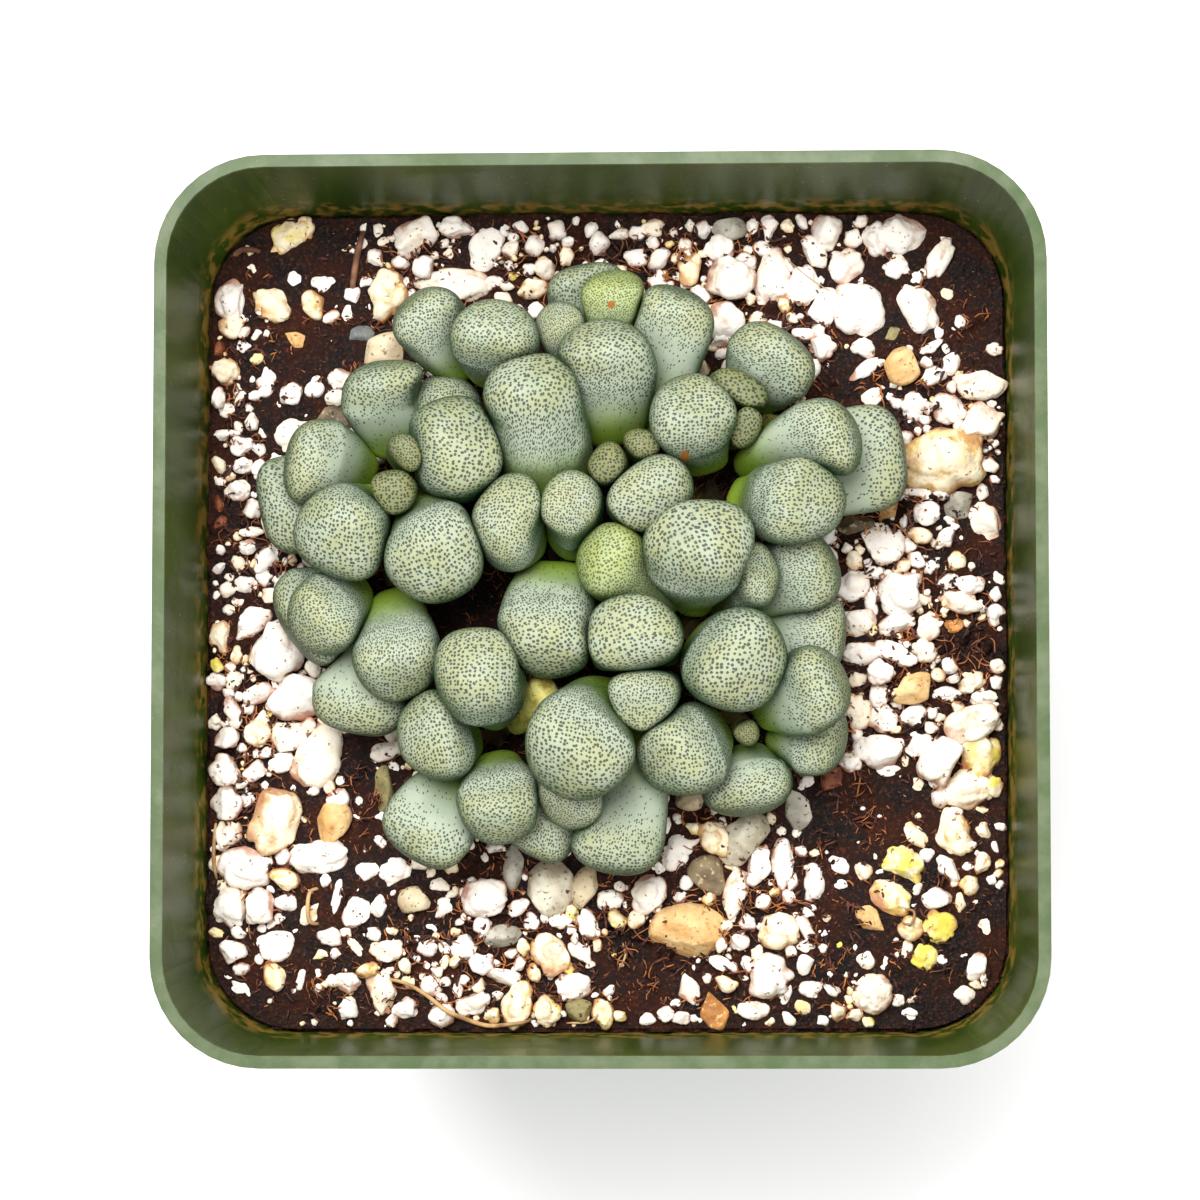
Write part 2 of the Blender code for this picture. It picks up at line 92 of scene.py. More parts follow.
def mesh_normals(mesh):
    normals = np.empty(len(mesh.vertices) * 3)
    mesh.vertices.foreach_get("normal", normals)
    return normals.reshape(-1, 3)


def put_points(mesh, points):
    mesh.vertices.foreach_set("co", np.ascontiguousarray(points, float).ravel())
    mesh.update()


def put_attribute(mesh, name, values, kind="FLOAT"):
    layer = mesh.attributes.new(name, kind, "POINT")
    field = "value" if kind == "FLOAT" else "vector"
    layer.data.foreach_set(field, np.ascontiguousarray(values, float).ravel())


def add_piece(name, mesh, material, replaces=()):
    """A piece of the plant or pot, smooth shaded, riding on the one body."""
    piece = bpy.data.objects.new(name, mesh)
    bpy.context.scene.collection.objects.link(piece)
    mesh.materials.clear()
    mesh.materials.append(material)
    mesh.shade_smooth()
    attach(piece, "root")
    if replaces:
        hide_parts(*replaces)
    return piece


def mesh_from_faces(name, points, faces):
    """Mesh from an array of points and an array of faces that all have the same side count."""
    sides = faces.shape[1]
    mesh = bpy.data.meshes.new(name)
    mesh.vertices.add(len(points))
    mesh.vertices.foreach_set("co", np.ascontiguousarray(points, float).ravel())
    mesh.loops.add(faces.size)
    mesh.loops.foreach_set("vertex_index", faces.astype(np.int32).ravel())
    mesh.polygons.add(len(faces))
    mesh.polygons.foreach_set("loop_start", np.arange(len(faces), dtype=np.int32) * sides)
    mesh.update(calc_edges=True)
    mesh.validate()
    return mesh


def unit_ball(level):
    """Points and triangles of a unit icosphere."""
    edit = bmesh.new()
    bmesh.ops.create_icosphere(edit, subdivisions=level, radius=1.0)
    points = np.array([v.co for v in edit.verts])
    faces = np.array([[v.index for v in f.verts] for f in edit.faces])
    edit.free()
    return points, faces


# ---------------------------------------------------------------- material building

def new_material(name):
    material = bpy.data.materials.new(name)
    material.use_nodes = True
    tree = material.node_tree
    return material, tree, tree.nodes["Principled BSDF"]


def add_node(tree, kind, settings=None, **inputs):
    """A shader node with its settings, and its inputs set or linked by name."""
    node = tree.nodes.new(kind)
    for key, value in (settings or {}).items():
        setattr(node, key, value)
    for key, value in inputs.items():
        plug(tree, node, key.replace("_", " "), value)
    return node


def plug(tree, node, key, value):
    socket = node.inputs[int(key[1:])] if key[0] == "i" and key[1:].isdigit() else node.inputs[key]
    if isinstance(value, bpy.types.NodeSocket):
        tree.links.new(value, socket)
    else:
        socket.default_value = value


def attribute(tree, name, output="Fac"):
    return add_node(tree, "ShaderNodeAttribute", {"attribute_name": name}).outputs[output]


def ramp(tree, value, low, high, start=0.0, end=1.0):
    """value turned smoothly from start to end between low and high."""
    settings = {"interpolation_type": "SMOOTHSTEP"}
    node = add_node(tree, "ShaderNodeMapRange", settings, Value=value)
    for key, number in zip(("From Min", "From Max", "To Min", "To Max"), (low, high, start, end)):
        node.inputs[key].default_value = number
    return node.outputs["Result"]


def arithmetic(tree, operation, a, b, clamp=False):
    settings = {"operation": operation, "use_clamp": clamp}
    return add_node(tree, "ShaderNodeMath", settings, i0=a, i1=b).outputs["Value"]


def blend(tree, share, a, b, kind="MIX"):
    """Colour a turned into colour b by share."""
    node = add_node(tree, "ShaderNodeMix", {"data_type": "RGBA", "blend_type": kind})
    plug(tree, node, "i0", share)
    plug(tree, node, "i6", a)
    plug(tree, node, "i7", b)
    return node.outputs[2]


def noise(tree, scale, detail=3.0, vector=None, output="Fac", roughness=0.55):
    node = add_node(tree, "ShaderNodeTexNoise", Scale=scale, Detail=detail, Roughness=roughness)
    if vector is None:
        vector = add_node(tree, "ShaderNodeTexCoord").outputs["Object"]
    tree.links.new(vector, node.inputs["Vector"])
    return node.outputs[output]


def bump(tree, height, strength, distance, below=None):
    node = add_node(tree, "ShaderNodeBump", Height=height, Strength=strength, Distance=distance)
    if below is not None:
        tree.links.new(below, node.inputs["Normal"])
    return node.outputs["Normal"]


def colour(red, green, blue):
    """Linear colour from the 0 to 255 values that a screen shows."""
    channels = []
    for value in (red, green, blue):
        share = value / 255
        channels.append(share / 12.92 if share <= 0.04045 else ((share + 0.055) / 1.055) ** 2.4)
    return (*channels, 1.0)


# ---------------------------------------------------------------- leaf skin

def leaf_material(name, neck, side, lit_bloom, crest, dot_dark, dot_pale):
    """Waxy skin: green neck, blue-white bloom, a yellower crest, dark round dots, and painted top light
    and side shade.

    The mesh gives along (0 at the neck, 1 at the tip), upward (1 where the skin faces the
    sky), cover (share of the dots that show) and skin (place on the skin, in dot spacings).
    """
    material, tree, shader = new_material(name)
    along = attribute(tree, "along")
    upward = attribute(tree, "upward")
    cover = attribute(tree, "cover")
    skin = attribute(tree, "skin", "Vector")

    wobble = noise(tree, 1.7, 2.0, skin, "Color")
    shifted = add_node(tree, "ShaderNodeVectorMath", {"operation": "MULTIPLY_ADD"})
    plug(tree, shifted, "i0", wobble)
    plug(tree, shifted, "i1", (0.4, 0.4, 0.0))
    plug(tree, shifted, "i2", skin)
    cells = add_node(
        tree,
        "ShaderNodeTexVoronoi",
        {"voronoi_dimensions": "2D", "feature": "F1"},
        Vector=shifted.outputs["Vector"],
        Scale=1.0,
        Randomness=0.68,
    )
    random_cell = add_node(tree, "ShaderNodeSeparateColor", Color=cells.outputs["Color"])
    size = ramp(tree, random_cell.outputs["Green"], 0.0, 1.0, 0.26, 0.37)
    nearness = arithmetic(tree, "DIVIDE", cells.outputs["Distance"], size)
    dot = ramp(tree, nearness, 1.25, 0.75)
    kept = arithmetic(tree, "SUBTRACT", cover, random_cell.outputs["Red"])
    kept = arithmetic(tree, "MULTIPLY", kept, 9.0, clamp=True)
    dot = arithmetic(tree, "MULTIPLY", dot, kept)

    patches = noise(tree, 260.0, 3.0)
    # Painted light and shade: faces that look up take the pale bloom colour and the sides the darker side
    # colour, broken by patches of real bloom.
    bloom_and_top_light = arithmetic(tree, "ADD", upward, ramp(tree, patches, 0.3, 0.7, -0.2, 0.2), clamp=True)
    crested = ramp(tree, along, 0.72, 0.94)
    patchy = ramp(tree, noise(tree, 420.0, 2.0), 0.35, 0.65, 0.3, 1.0)
    crested = arithmetic(tree, "MULTIPLY", crested, patchy)
    base = blend(tree, crested, lit_bloom, crest)
    base = blend(tree, bloom_and_top_light, side, base)
    necked = ramp(tree, along, 0.2, 0.66)
    base = blend(tree, necked, neck, base)
    # The dots are painted paler on the lit tops and darker on the shaded sides.
    dot_tint = blend(tree, bloom_and_top_light, dot_dark, dot_pale)
    dot_share = arithmetic(tree, "MULTIPLY", dot, 0.94)
    skin_colour = blend(tree, dot_share, base, dot_tint)
    scab = arithmetic(tree, "SUBTRACT", attribute(tree, "scab"), ramp(tree, patches, 0.3, 0.7, -0.1, 0.3))
    scab = ramp(tree, scab, 0.15, 0.4)
    skin_colour = blend(tree, scab, skin_colour, colour(150, 92, 36))
    tree.links.new(skin_colour, shader.inputs["Base Color"])

    grain = noise(tree, 5200.0, 2.0)
    fine = bump(tree, grain, 0.35, 0.00006)
    dimple = bump(tree, dot, -0.25, 0.00008, fine)
    tree.links.new(dimple, shader.inputs["Normal"])
    tree.links.new(ramp(tree, patches, 0.3, 0.7, 0.45, 0.62), shader.inputs["Roughness"])
    shader.inputs["Specular IOR Level"].default_value = 0.32
    shader.inputs["Subsurface Weight"].default_value = 0.05
    shader.inputs["Subsurface Radius"].default_value = (0.6, 1.0, 0.35)
    shader.inputs["Subsurface Scale"].default_value = 0.0012
    return material


def withered_material():
    """Yellow, papery skin of a leaf that is dying back, mottled, with brown flecks."""
    material, tree, shader = new_material("yellow_leaf_skin")
    along = attribute(tree, "along")
    base = blend(tree, ramp(tree, along, 0.1, 0.9), colour(150, 160, 60), colour(212, 202, 112))
    mottle = ramp(tree, noise(tree, 900.0, 4.0), 0.45, 0.7)
    base = blend(tree, mottle, base, colour(160, 142, 56))
    specks = ramp(tree, noise(tree, 2600.0, 2.0), 0.6, 0.72)
    base = blend(tree, specks, base, colour(120, 100, 46))
    tree.links.new(base, shader.inputs["Base Color"])
    tree.links.new(bump(tree, noise(tree, 1500.0, 4.0), 0.6, 0.0003), shader.inputs["Normal"])
    shader.inputs["Roughness"].default_value = 0.5
    return material


# In each skin, side is painted shade for the leaves' sides, and the bloom colour carries painted light on
# their tops.
GREEN_SKIN = leaf_material(
    "leaf_skin",
    neck=colour(128, 156, 44),
    side=colour(54, 82, 48),
    lit_bloom=colour(159, 170, 149),
    crest=colour(154, 159, 120),
    dot_dark=colour(22, 38, 24),
    dot_pale=colour(58, 62, 58),
)
YOUNG_SKIN = leaf_material(
    "young_leaf_skin",
    neck=colour(106, 126, 44),
    side=colour(70, 86, 44),
    lit_bloom=colour(114, 122, 86),
    crest=colour(120, 122, 78),
    dot_dark=colour(24, 34, 16),
    dot_pale=colour(44, 44, 30),
)
OLIVE_SKIN = leaf_material(
    "olive_leaf_skin",
    neck=colour(156, 176, 126),
    side=colour(88, 110, 32),
    lit_bloom=colour(160, 172, 128),
    crest=colour(154, 162, 98),
    dot_dark=colour(44, 62, 20),
    dot_pale=colour(74, 86, 46),
)
YELLOW_SKIN = withered_material()


# ---------------------------------------------------------------- leaves

LEAF_SWELL = 0.25 * MM  # takes up the gap that the solid leaves keep between them
FULLNESS = 0.85  # 1 carries the rounded skin back out to the solid leaf's corners
SPACING_PER_WIDTH = 0.048  # dots stand this share of the leaf's width apart
SPARSE = 0.16  # share of the dots that show on a leaf's smooth part

# Share of its length at which each leaf's dots become dense, where it isn't the neck.
DOTS_FROM = {
    "west_outer": 0.82,
    "west_outer_low": 0.75,
    "west_back": 0.8,
    "north_west_outer": 0.7,
    "north_west_top": 0.55,
    "middle_back": 0.55,
    "north_top": 0.62,
    "north_right": 0.8,
    "north_east_right": 0.75,
    "north_east_outer": 0.85,
    "north_east_back": 0.72,
    "north_east_left": 0.45,
    "north_east_front": 0.4,
    "middle_front": 0.6,
    "east_front": 0.6,
    "east_right": 0.7,
    "east_skirt": 0.7,
    "east_left": 0.5,
    "south_east_right": 0.78,
    "south_east_front": 0.8,
    "south_east_low": 0.7,
    "south_west_low": 0.8,
    "south_west_front": 0.55,
    "south_long": 0.85,
    "south_skirt": 0.8,
    "west_low_front": 0.55,
    "west_low_skirt": 0.85,
    "north_back_outer": 0.75,
    "north_back_scarred": 0.7,
}
OLIVE_LEAVES = ("east_left", "north_back_scarred")
YOUNG_LEAVES = (
    "north_bud_left", "north_bud_right", "north_east_young_back", "north_east_young_front",
    "south_east_bud", "west_bud_back", "west_bud_front",
)
# Healed wounds: x, y and reach.
SCABS = {"north_east_left": (6.1, 10.8, 0.55), "north_back_scarred": (0.8, 21.9, 0.6)}
WITHERED_LEAVES = ("south_west_withered",)
# Leaves whose solids are squeezed between their neighbours: centre and half sizes.
PRESSED_LEAVES = {"north_west_small": (-11.5, 14.9, 51.3, 2.5, 2.3, 2.3)}
ROUNDING_LEVELS = 3


def rounded_leaf(node):
    """The solid leaf's mesh as quads, subdivided into a round body, and its neck's middle."""
    edit = bmesh.new()
    edit.from_mesh(node.data)
    bmesh.ops.remove_doubles(edit, verts=edit.verts, dist=1e-6)
    flat = math.radians(0.4)
    bmesh.ops.dissolve_limit(edit, angle_limit=flat, verts=edit.verts, edges=edit.edges)
    foot = max(edit.faces, key=lambda face: len(face.verts))
    neck = np.array(foot.calc_center_median())
    triangles = [face for face in edit.faces if len(face.verts) == 3]
    bmesh.ops.join_triangles(
        edit,
        faces=triangles,
        angle_face_threshold=math.radians(70),
        angle_shape_threshold=math.radians(70),
    )
    cage = bpy.data.meshes.new("cage")
    edit.to_mesh(cage)
    edit.free()
    corners = mesh_points(cage)
    first = subdivided(cage)
    drawn_in = mesh_points(first)[: len(corners)] - corners
    put_points(cage, corners - FULLNESS * drawn_in)
    bpy.data.meshes.remove(first)
    mesh = subdivided(cage)
    bpy.data.meshes.remove(cage)
    return mesh, neck


def subdivided(cage):
    """The cage's Catmull-Clark surface. Its first vertices are the cage's own."""
    holder = bpy.data.objects.new("cage", cage)
    bpy.context.scene.collection.objects.link(holder)
    round_off = holder.modifiers.new("round", "SUBSURF")
    round_off.levels = ROUNDING_LEVELS
    bpy.context.view_layer.update()
    evaluated = holder.evaluated_get(bpy.context.evaluated_depsgraph_get())
    mesh = bpy.data.meshes.new_from_object(evaluated)
    bpy.data.objects.remove(holder, do_unlink=True)
    return mesh


def surface_distance(mesh, points, start):
    """Distance over the surface from one vertex to every other."""
    ends = np.array([edge.vertices for edge in mesh.edges])
    quads = [face.vertices for face in mesh.polygons if len(face.vertices) == 4]
    quads = np.array(quads, int).reshape(-1, 4)
    ends = np.concatenate([ends, quads[:, [0, 2]], quads[:, [1, 3]]])
    lengths = np.linalg.norm(points[ends[:, 0]] - points[ends[:, 1]], axis=1)
    distance = np.full(len(points), 1.0)
    distance[start] = 0.0
    for _ in range(200):
        before = distance.copy()
        np.minimum.at(distance, ends[:, 0], before[ends[:, 1]] + lengths)
        np.minimum.at(distance, ends[:, 1], before[ends[:, 0]] + lengths)
        if np.array_equal(before, distance):
            break
    return distance


def pressed_leaf(name):
    """A round leaf in the place of a squeezed solid, and its neck's middle."""
    centre = np.array(PRESSED_LEAVES[name][:3]) * MM
    half = np.array(PRESSED_LEAVES[name][3:]) * MM
    ball, faces = unit_ball(5)
    return mesh_from_faces("ball", centre + ball * half, faces), centre - [0.0, 0.0, half[2]]


def make_leaf(name):
    if name in PRESSED_LEAVES:
        mesh, neck = pressed_leaf(name)
    else:
        mesh, neck = rounded_leaf(nodes["leaf_" + name])
    mesh.name = "skin_" + name
    points = mesh_points(mesh)
    normals = mesh_normals(mesh)
    number = int(random.integers(1000))
    lumps = lattice_noise(points / (2.6 * MM), number) * 0.07 * MM
    points = points + normals * (LEAF_SWELL + lumps)[:, None]
    put_points(mesh, points)

    from_neck = np.linalg.norm(points - neck, axis=1)
    tip = int(from_neck.argmax())
    along = from_neck / from_neck[tip]
    axis = points.mean(axis=0) - points[tip]
    axis /= np.linalg.norm(axis)
    first = np.cross(axis, [0.0, 0.0, 1.0] if abs(axis[2]) < 0.9 else [1.0, 0.0, 0.0])
    first /= np.linalg.norm(first)
    second = np.cross(axis, first)
    offset = points - points[tip]
    angle = np.arctan2(offset @ second, offset @ first)
    across = np.ptp(offset @ first), np.ptp(offset @ second)
    spacing = SPACING_PER_WIDTH * sum(across) / 2
    if name in YOUNG_LEAVES:
        spacing *= 1.7
    reach = surface_distance(mesh, points, tip) / spacing
    place = np.stack([reach * np.cos(angle), reach * np.sin(angle), 0 * reach], axis=1)
    place += np.array([number % 37, number % 41, 0.0])
    dots_from = DOTS_FROM.get(name, 0.15)
    cover = SPARSE + (1.05 - SPARSE) * soft_step(along, dots_from - 0.16, dots_from + 0.12)
    cover = cover * soft_step(along, 0.12, 0.35)
    put_attribute(mesh, "along", along)
    # upward places the painted top light and side shade on the skin.
    put_attribute(mesh, "upward", soft_step(mesh_normals(mesh)[:, 2], 0.0, 0.85))
    scab_x, scab_y, scab_reach = SCABS.get(name, (0.0, 0.0, 0.0))
    from_scab = np.hypot(points[:, 0] / MM - scab_x, points[:, 1] / MM - scab_y)
    put_attribute(mesh, "scab", soft_step(-from_scab, -scab_reach - 1e-6, 0.0))
    put_attribute(mesh, "cover", cover)
    put_attribute(mesh, "skin", place, "FLOAT_VECTOR")
    material, slot = GREEN_SKIN, "leaf_skin"
    if name in YOUNG_LEAVES:
        material, slot = YOUNG_SKIN, "young_leaf_skin"
    if name in OLIVE_LEAVES:
        material = OLIVE_SKIN
    if name in WITHERED_LEAVES:
        material, slot = YELLOW_SKIN, "yellow_leaf_skin"
    return add_piece("plump_" + name, mesh, material, ["leaf_" + name])


for node_name in sorted(nodes):
    if node_name.startswith("leaf_"):
        make_leaf(node_name.removeprefix("leaf_"))


# ---------------------------------------------------------------- pot

def dress(name, material):
    """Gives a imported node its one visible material."""
    nodes[name].data.materials.clear()
    nodes[name].data.materials.append(material)


_, mix_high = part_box("potting_mix")
SURFACE = mix_high.z
HALF_X, HALF_Y = mix_high.x, mix_high.y
TUB_CORNER = 6.5 * MM  # radius of the mix's corners, seen from above
TO_MIDDLE_OF_WALL = 0.8 * MM
WALL_LEAN = 0.146  # the wall's run outward for each metre it rises
RESIDUE_STARTS = (SURFACE - 0.003, SURFACE - 0.002)  # the dried line fades in between these
RESIDUE_ENDS = (SURFACE + 0.0032, SURFACE + 0.0004)  # and out again towards the first
RESIDUE_SHARE = 0.85
LIP_ROUNDING = 0.26 * MM


def inner_face(tree, place):
    """1 on the pot's inner face and 0 on its outer face, near the mix's surface."""
    parts = add_node(tree, "ShaderNodeSeparateXYZ", Vector=place).outputs
    past = []
    for axis, half in (("X", HALF_X), ("Y", HALF_Y)):
        distance = arithmetic(tree, "ABSOLUTE", parts[axis], 0.0)
        distance = arithmetic(tree, "SUBTRACT", distance, half - TUB_CORNER)
        past.append(arithmetic(tree, "MAXIMUM", distance, 0.0))
    corner = add_node(tree, "ShaderNodeCombineXYZ", X=past[0], Y=past[1])
    length = add_node(tree, "ShaderNodeVectorMath", {"operation": "LENGTH"}, i0=corner.outputs[0])
    rise = arithmetic(tree, "SUBTRACT", parts["Z"], SURFACE)
    lean = arithmetic(tree, "MULTIPLY", rise, WALL_LEAN)
    outward = arithmetic(tree, "SUBTRACT", length.outputs["Value"], lean)
    middle = TUB_CORNER + TO_MIDDLE_OF_WALL
    return ramp(tree, outward, middle + 0.0001, middle - 0.0001)


def pot_material():
    """Dark green moulded plastic: faintly streaked, a dried tide line inside, and a painted highlight on
    the lip.
    """
    material, tree, shader = new_material("pot_plastic")
    place = add_node(tree, "ShaderNodeTexCoord").outputs["Object"]
    stretched = add_node(tree, "ShaderNodeMapping", Vector=place, Scale=(1.0, 1.0, 0.05))
    streak = ramp(tree, noise(tree, 420.0, 4.0, stretched.outputs["Vector"]), 0.35, 0.7)
    base = blend(tree, streak, colour(38, 58, 9), colour(52, 72, 13))
    cloud = ramp(tree, noise(tree, 120.0, 4.0), 0.45, 0.75, 0.0, 0.5)
    base = blend(tree, cloud, base, colour(78, 84, 22))
    height = add_node(tree, "ShaderNodeSeparateXYZ", Vector=place).outputs["Z"]
    residue = ramp(tree, noise(tree, 800.0, 5.0), 0.44, 0.6)
    band = (ramp(tree, height, *RESIDUE_ENDS), ramp(tree, height, *RESIDUE_STARTS))
    for share in (*band, inner_face(tree, place), RESIDUE_SHARE):
        residue = arithmetic(tree, "MULTIPLY", residue, share)
    base = blend(tree, residue, base, colour(142, 112, 50))
    specks = ramp(tree, noise(tree, 3800.0, 2.0), 0.72, 0.76, 0.0, 0.7)
    base = blend(tree, specks, base, colour(190, 192, 170))
    # Painted highlight: a paler band along the lip's top edge.
    lip_highlight = ramp(tree, height, POT_TOP - 0.0004, POT_TOP - 0.0001, 0.0, 0.9)
    patchy = blend(tree, streak, colour(82, 98, 66), colour(104, 114, 88))
    base = blend(tree, lip_highlight, base, patchy)
    tree.links.new(base, shader.inputs["Base Color"])
    shader.inputs["Specular IOR Level"].default_value = 0.2
    pores = bump(tree, noise(tree, 3000.0, 3.0), 0.15, 0.0001)
    tree.links.new(bump(tree, streak, 0.12, 0.0002, pores), shader.inputs["Normal"])
    tree.links.new(ramp(tree, cloud, 0.0, 0.5, 0.36, 0.6), shader.inputs["Roughness"])
    return material


POT_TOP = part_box("nursery_pot")[1].z
dress("nursery_pot", pot_material())
lip = nodes["nursery_pot"].modifiers.new("lip", "BEVEL")
lip.width = LIP_ROUNDING
lip.segments = 3
lip.angle_limit = math.radians(50)


# ---------------------------------------------------------------- potting mix

SURFACE_STEP = 0.22 * MM
SURFACE_SPREAD = 0.25 * MM  # past the solid, to meet the wall
LUMP_HEIGHT, LUMP_SPAN = 0.4 * MM, 4.5 * MM
CRUMB_HEIGHT, CRUMB_SPAN = 0.9 * MM, 1.1 * MM
SURFACE_SINK = 0.55 * MM  # brings the crumbs' mean back to the solid's top


def inside_tub(x, y, margin):
    """True inside the mix's rounded outline, drawn in by margin."""
    past_x = np.maximum(np.abs(x) - (HALF_X - margin - TUB_CORNER), 0)
    past_y = np.maximum(np.abs(y) - (HALF_Y - margin - TUB_CORNER), 0)
    return np.hypot(past_x, past_y) < TUB_CORNER


def mix_height(x, y):
    """Height of the peat's surface: crowned, lumpy and crumbly."""
    flat = np.stack([x, y, 0 * x], axis=-1)
    crown = SURFACE - 0.0006 * ((x / HALF_X) ** 2 + (y / HALF_Y) ** 2)
    lumps = LUMP_HEIGHT * fractal_noise(flat / LUMP_SPAN, 3, 2)
    crumbs = CRUMB_HEIGHT * np.abs(fractal_noise(flat / CRUMB_SPAN, 9, 3))
    return crown + lumps + crumbs - SURFACE_SINK


def peat_material():
    """Dark, damp peat with red-brown coir dust."""
    material, tree, shader = new_material("peat_mix")
    patch = ramp(tree, noise(tree, 300.0, 6.0), 0.35, 0.7)
    base = blend(tree, patch, colour(8, 4, 4), colour(50, 26, 18))
    dust = ramp(tree, noise(tree, 3600.0, 6.0, None, "Fac", 0.75), 0.5, 0.78, 0.0, 0.75)
    base = blend(tree, dust, base, colour(128, 70, 42))
    tree.links.new(base, shader.inputs["Base Color"])
    shader.inputs["Specular IOR Level"].default_value = 0.15
    coarse = bump(tree, noise(tree, 900.0, 6.0), 0.8, 0.0006)
    tree.links.new(bump(tree, noise(tree, 4200.0, 3.0), 0.6, 0.0002, coarse), shader.inputs["Normal"])
    tree.links.new(ramp(tree, patch, 0.0, 1.0, 0.55, 0.95), shader.inputs["Roughness"])
    return material


PEAT = peat_material()
dress("potting_mix", PEAT)


def make_surface():
    """The mix's crumbly surface, out to inside the pot's wall."""
    reach_x, reach_y = HALF_X + SURFACE_SPREAD, HALF_Y + SURFACE_SPREAD
    xs = np.arange(-reach_x, reach_x, SURFACE_STEP)
    ys = np.arange(-reach_y, reach_y, SURFACE_STEP)
    x, y = (grid.ravel() for grid in np.meshgrid(xs, ys, indexing="ij"))
    index = np.arange(x.size).reshape(len(xs), len(ys))
    quads = [index[:-1, :-1], index[1:, :-1], index[1:, 1:], index[:-1, 1:]]
    quads = np.stack([q.ravel() for q in quads], axis=1)
    kept = inside_tub(x, y, -SURFACE_SPREAD)[quads].all(axis=1)
    used, packed = np.unique(quads[kept], return_inverse=True)
    points = np.stack([x, y, mix_height(x, y)], axis=1)[used]
    mesh = mesh_from_faces("mix_surface", points, packed.reshape(-1, 4))
    return add_piece("mix_surface", mesh, PEAT)


make_surface()


# ---------------------------------------------------------------- grains and stones

def grain_shape(ball, rng, facets, knobbly):
    """A unit ball worn to flats and made lumpy, in puffs, and how deep each point is creased."""
    points = ball.copy()
    for _ in range(facets):
        facing = rng.normal(size=3)
        facing /= np.linalg.norm(facing)
        over = np.maximum(points @ facing - rng.uniform(0.55, 0.88), 0.0)
        points -= 0.9 * over[:, None] * facing
    seed = int(rng.integers(10000))
    puffs = np.sqrt(lattice_noise(points * 1.2 + seed % 50, seed) ** 2 + 0.008) ** 0.7
    knobs = np.sqrt(lattice_noise(points * 2.6 + seed % 30, seed + 7) ** 2 + 0.02)
    rough = fractal_noise(points * 5.0, seed + 11, 2)
    swell = 1 + knobbly * (1.6 * (puffs - 0.42) + 0.55 * (knobs - 0.35) + 0.12 * rough)
    crease = np.maximum(soft_step(-puffs, -0.36, -0.2), 0.5 * soft_step(-knobs, -0.25, -0.14))
    return points * swell[:, None], crease


def turned(points, rng, turn, tilt=0.35):
    lean = Matrix.Rotation(rng.uniform(-tilt, tilt), 3, "X")
    spin = Matrix.Rotation(turn, 3, "Z")
    return points @ np.array(spin @ lean).T


class Heap:
    """Many grains of one sort, gathered into one mesh."""

    def __init__(self, name, level):
        self.name = name
        self.ball, self.faces = unit_ball(level)
        self.points, self.tints, self.stains, self.count = [], [], [], 0

    def add(self, rng, centre, size, turn, facets, knobbly, tint):
        shape, crease = grain_shape(self.ball, rng, facets, knobbly)
        # Painted shade: each grain is marked for darkening in its creases and on its underside.
        self.stains.append(np.maximum(0.45 * crease, soft_step(-shape[:, 2], -0.85, 0.15)))
        self.points.append(turned(shape * np.array(size) / 2, rng, turn) + np.array(centre))
        self.tints.append(np.full(len(shape), tint))
        self.count += 1

    def finish(self, slot, material):
        steps = np.arange(self.count)[:, None, None] * len(self.ball)
        faces = (self.faces[None] + steps).reshape(-1, 3)
        mesh = mesh_from_faces(self.name, np.concatenate(self.points), faces)
        put_attribute(mesh, "tint", np.concatenate(self.tints))
        put_attribute(mesh, "stain", np.concatenate(self.stains))
        return add_piece(self.name, mesh, material)


def perlite_material():
    """Puffed white glass: chalky, patchily stained, with painted brown shade in creases and underneath,
    part cream or yellow.
    """
    material, tree, shader = new_material("perlite")
    tint = attribute(tree, "tint")
    # Painted shade in the creases and underneath, added to patchy real staining.
    edge = attribute(tree, "stain")
    patch = ramp(tree, noise(tree, 900.0, 5.0), 0.3, 0.7, -0.35, 0.25)
    shade_and_stain = arithmetic(tree, "ADD", edge, patch)
    tinted = blend(tree, ramp(tree, shade_and_stain, 0.0, 0.7), colour(248, 232, 200), colour(216, 172, 96))
    base = blend(tree, ramp(tree, tint, 0.1, 0.8), colour(246, 238, 228), tinted)
    algae = arithmetic(tree, "ADD", tint, ramp(tree, noise(tree, 800.0, 2.0), 0.35, 0.65, -0.6, 0.3))
    base = blend(tree, ramp(tree, algae, 0.8, 1.7), base, colour(224, 208, 84))
    cream = ramp(tree, noise(tree, 480.0, 3.0), 0.5, 0.72, 0.0, 0.5)
    base = blend(tree, cream, base, colour(244, 222, 186))
    # Brown from the painted shade and the real stains together.
    base = blend(tree, ramp(tree, shade_and_stain, 0.3, 1.05, 0.0, 0.9), base, colour(170, 112, 82))
    specks = ramp(tree, noise(tree, 2300.0, 2.0), 0.66, 0.71, 0.0, 0.85)
    base = blend(tree, specks, base, colour(110, 70, 44))
    tree.links.new(base, shader.inputs["Base Color"])
    pocks = add_node(tree, "ShaderNodeTexVoronoi", {"feature": "F1"}, Scale=1900.0)
    tree.links.new(add_node(tree, "ShaderNodeTexCoord").outputs["Object"], pocks.inputs["Vector"])
    hollow = bump(tree, ramp(tree, pocks.outputs["Distance"], 0.1, 0.45), 0.35, 0.00012)
    tree.links.new(bump(tree, noise(tree, 3500.0, 4.0), 0.35, 0.00008, hollow), shader.inputs["Normal"])
    shader.inputs["Roughness"].default_value = 0.85
    return material


def stone_material(name, pale, dark, fleck):
    """Mineral grain: two tones in patches, flecked, with a faint sheen."""
    material, tree, shader = new_material(name)
    patch = ramp(tree, noise(tree, 420.0, 6.0), 0.35, 0.68)
    base = blend(tree, patch, dark, pale)
    flecks = ramp(tree, noise(tree, 2800.0, 3.0), 0.58, 0.68, 0.0, 0.8)
    base = blend(tree, flecks, base, fleck)
    tree.links.new(base, shader.inputs["Base Color"])
    tree.links.new(bump(tree, noise(tree, 1700.0, 5.0), 0.55, 0.0003), shader.inputs["Normal"])
    shader.inputs["Roughness"].default_value = 0.6
    return material


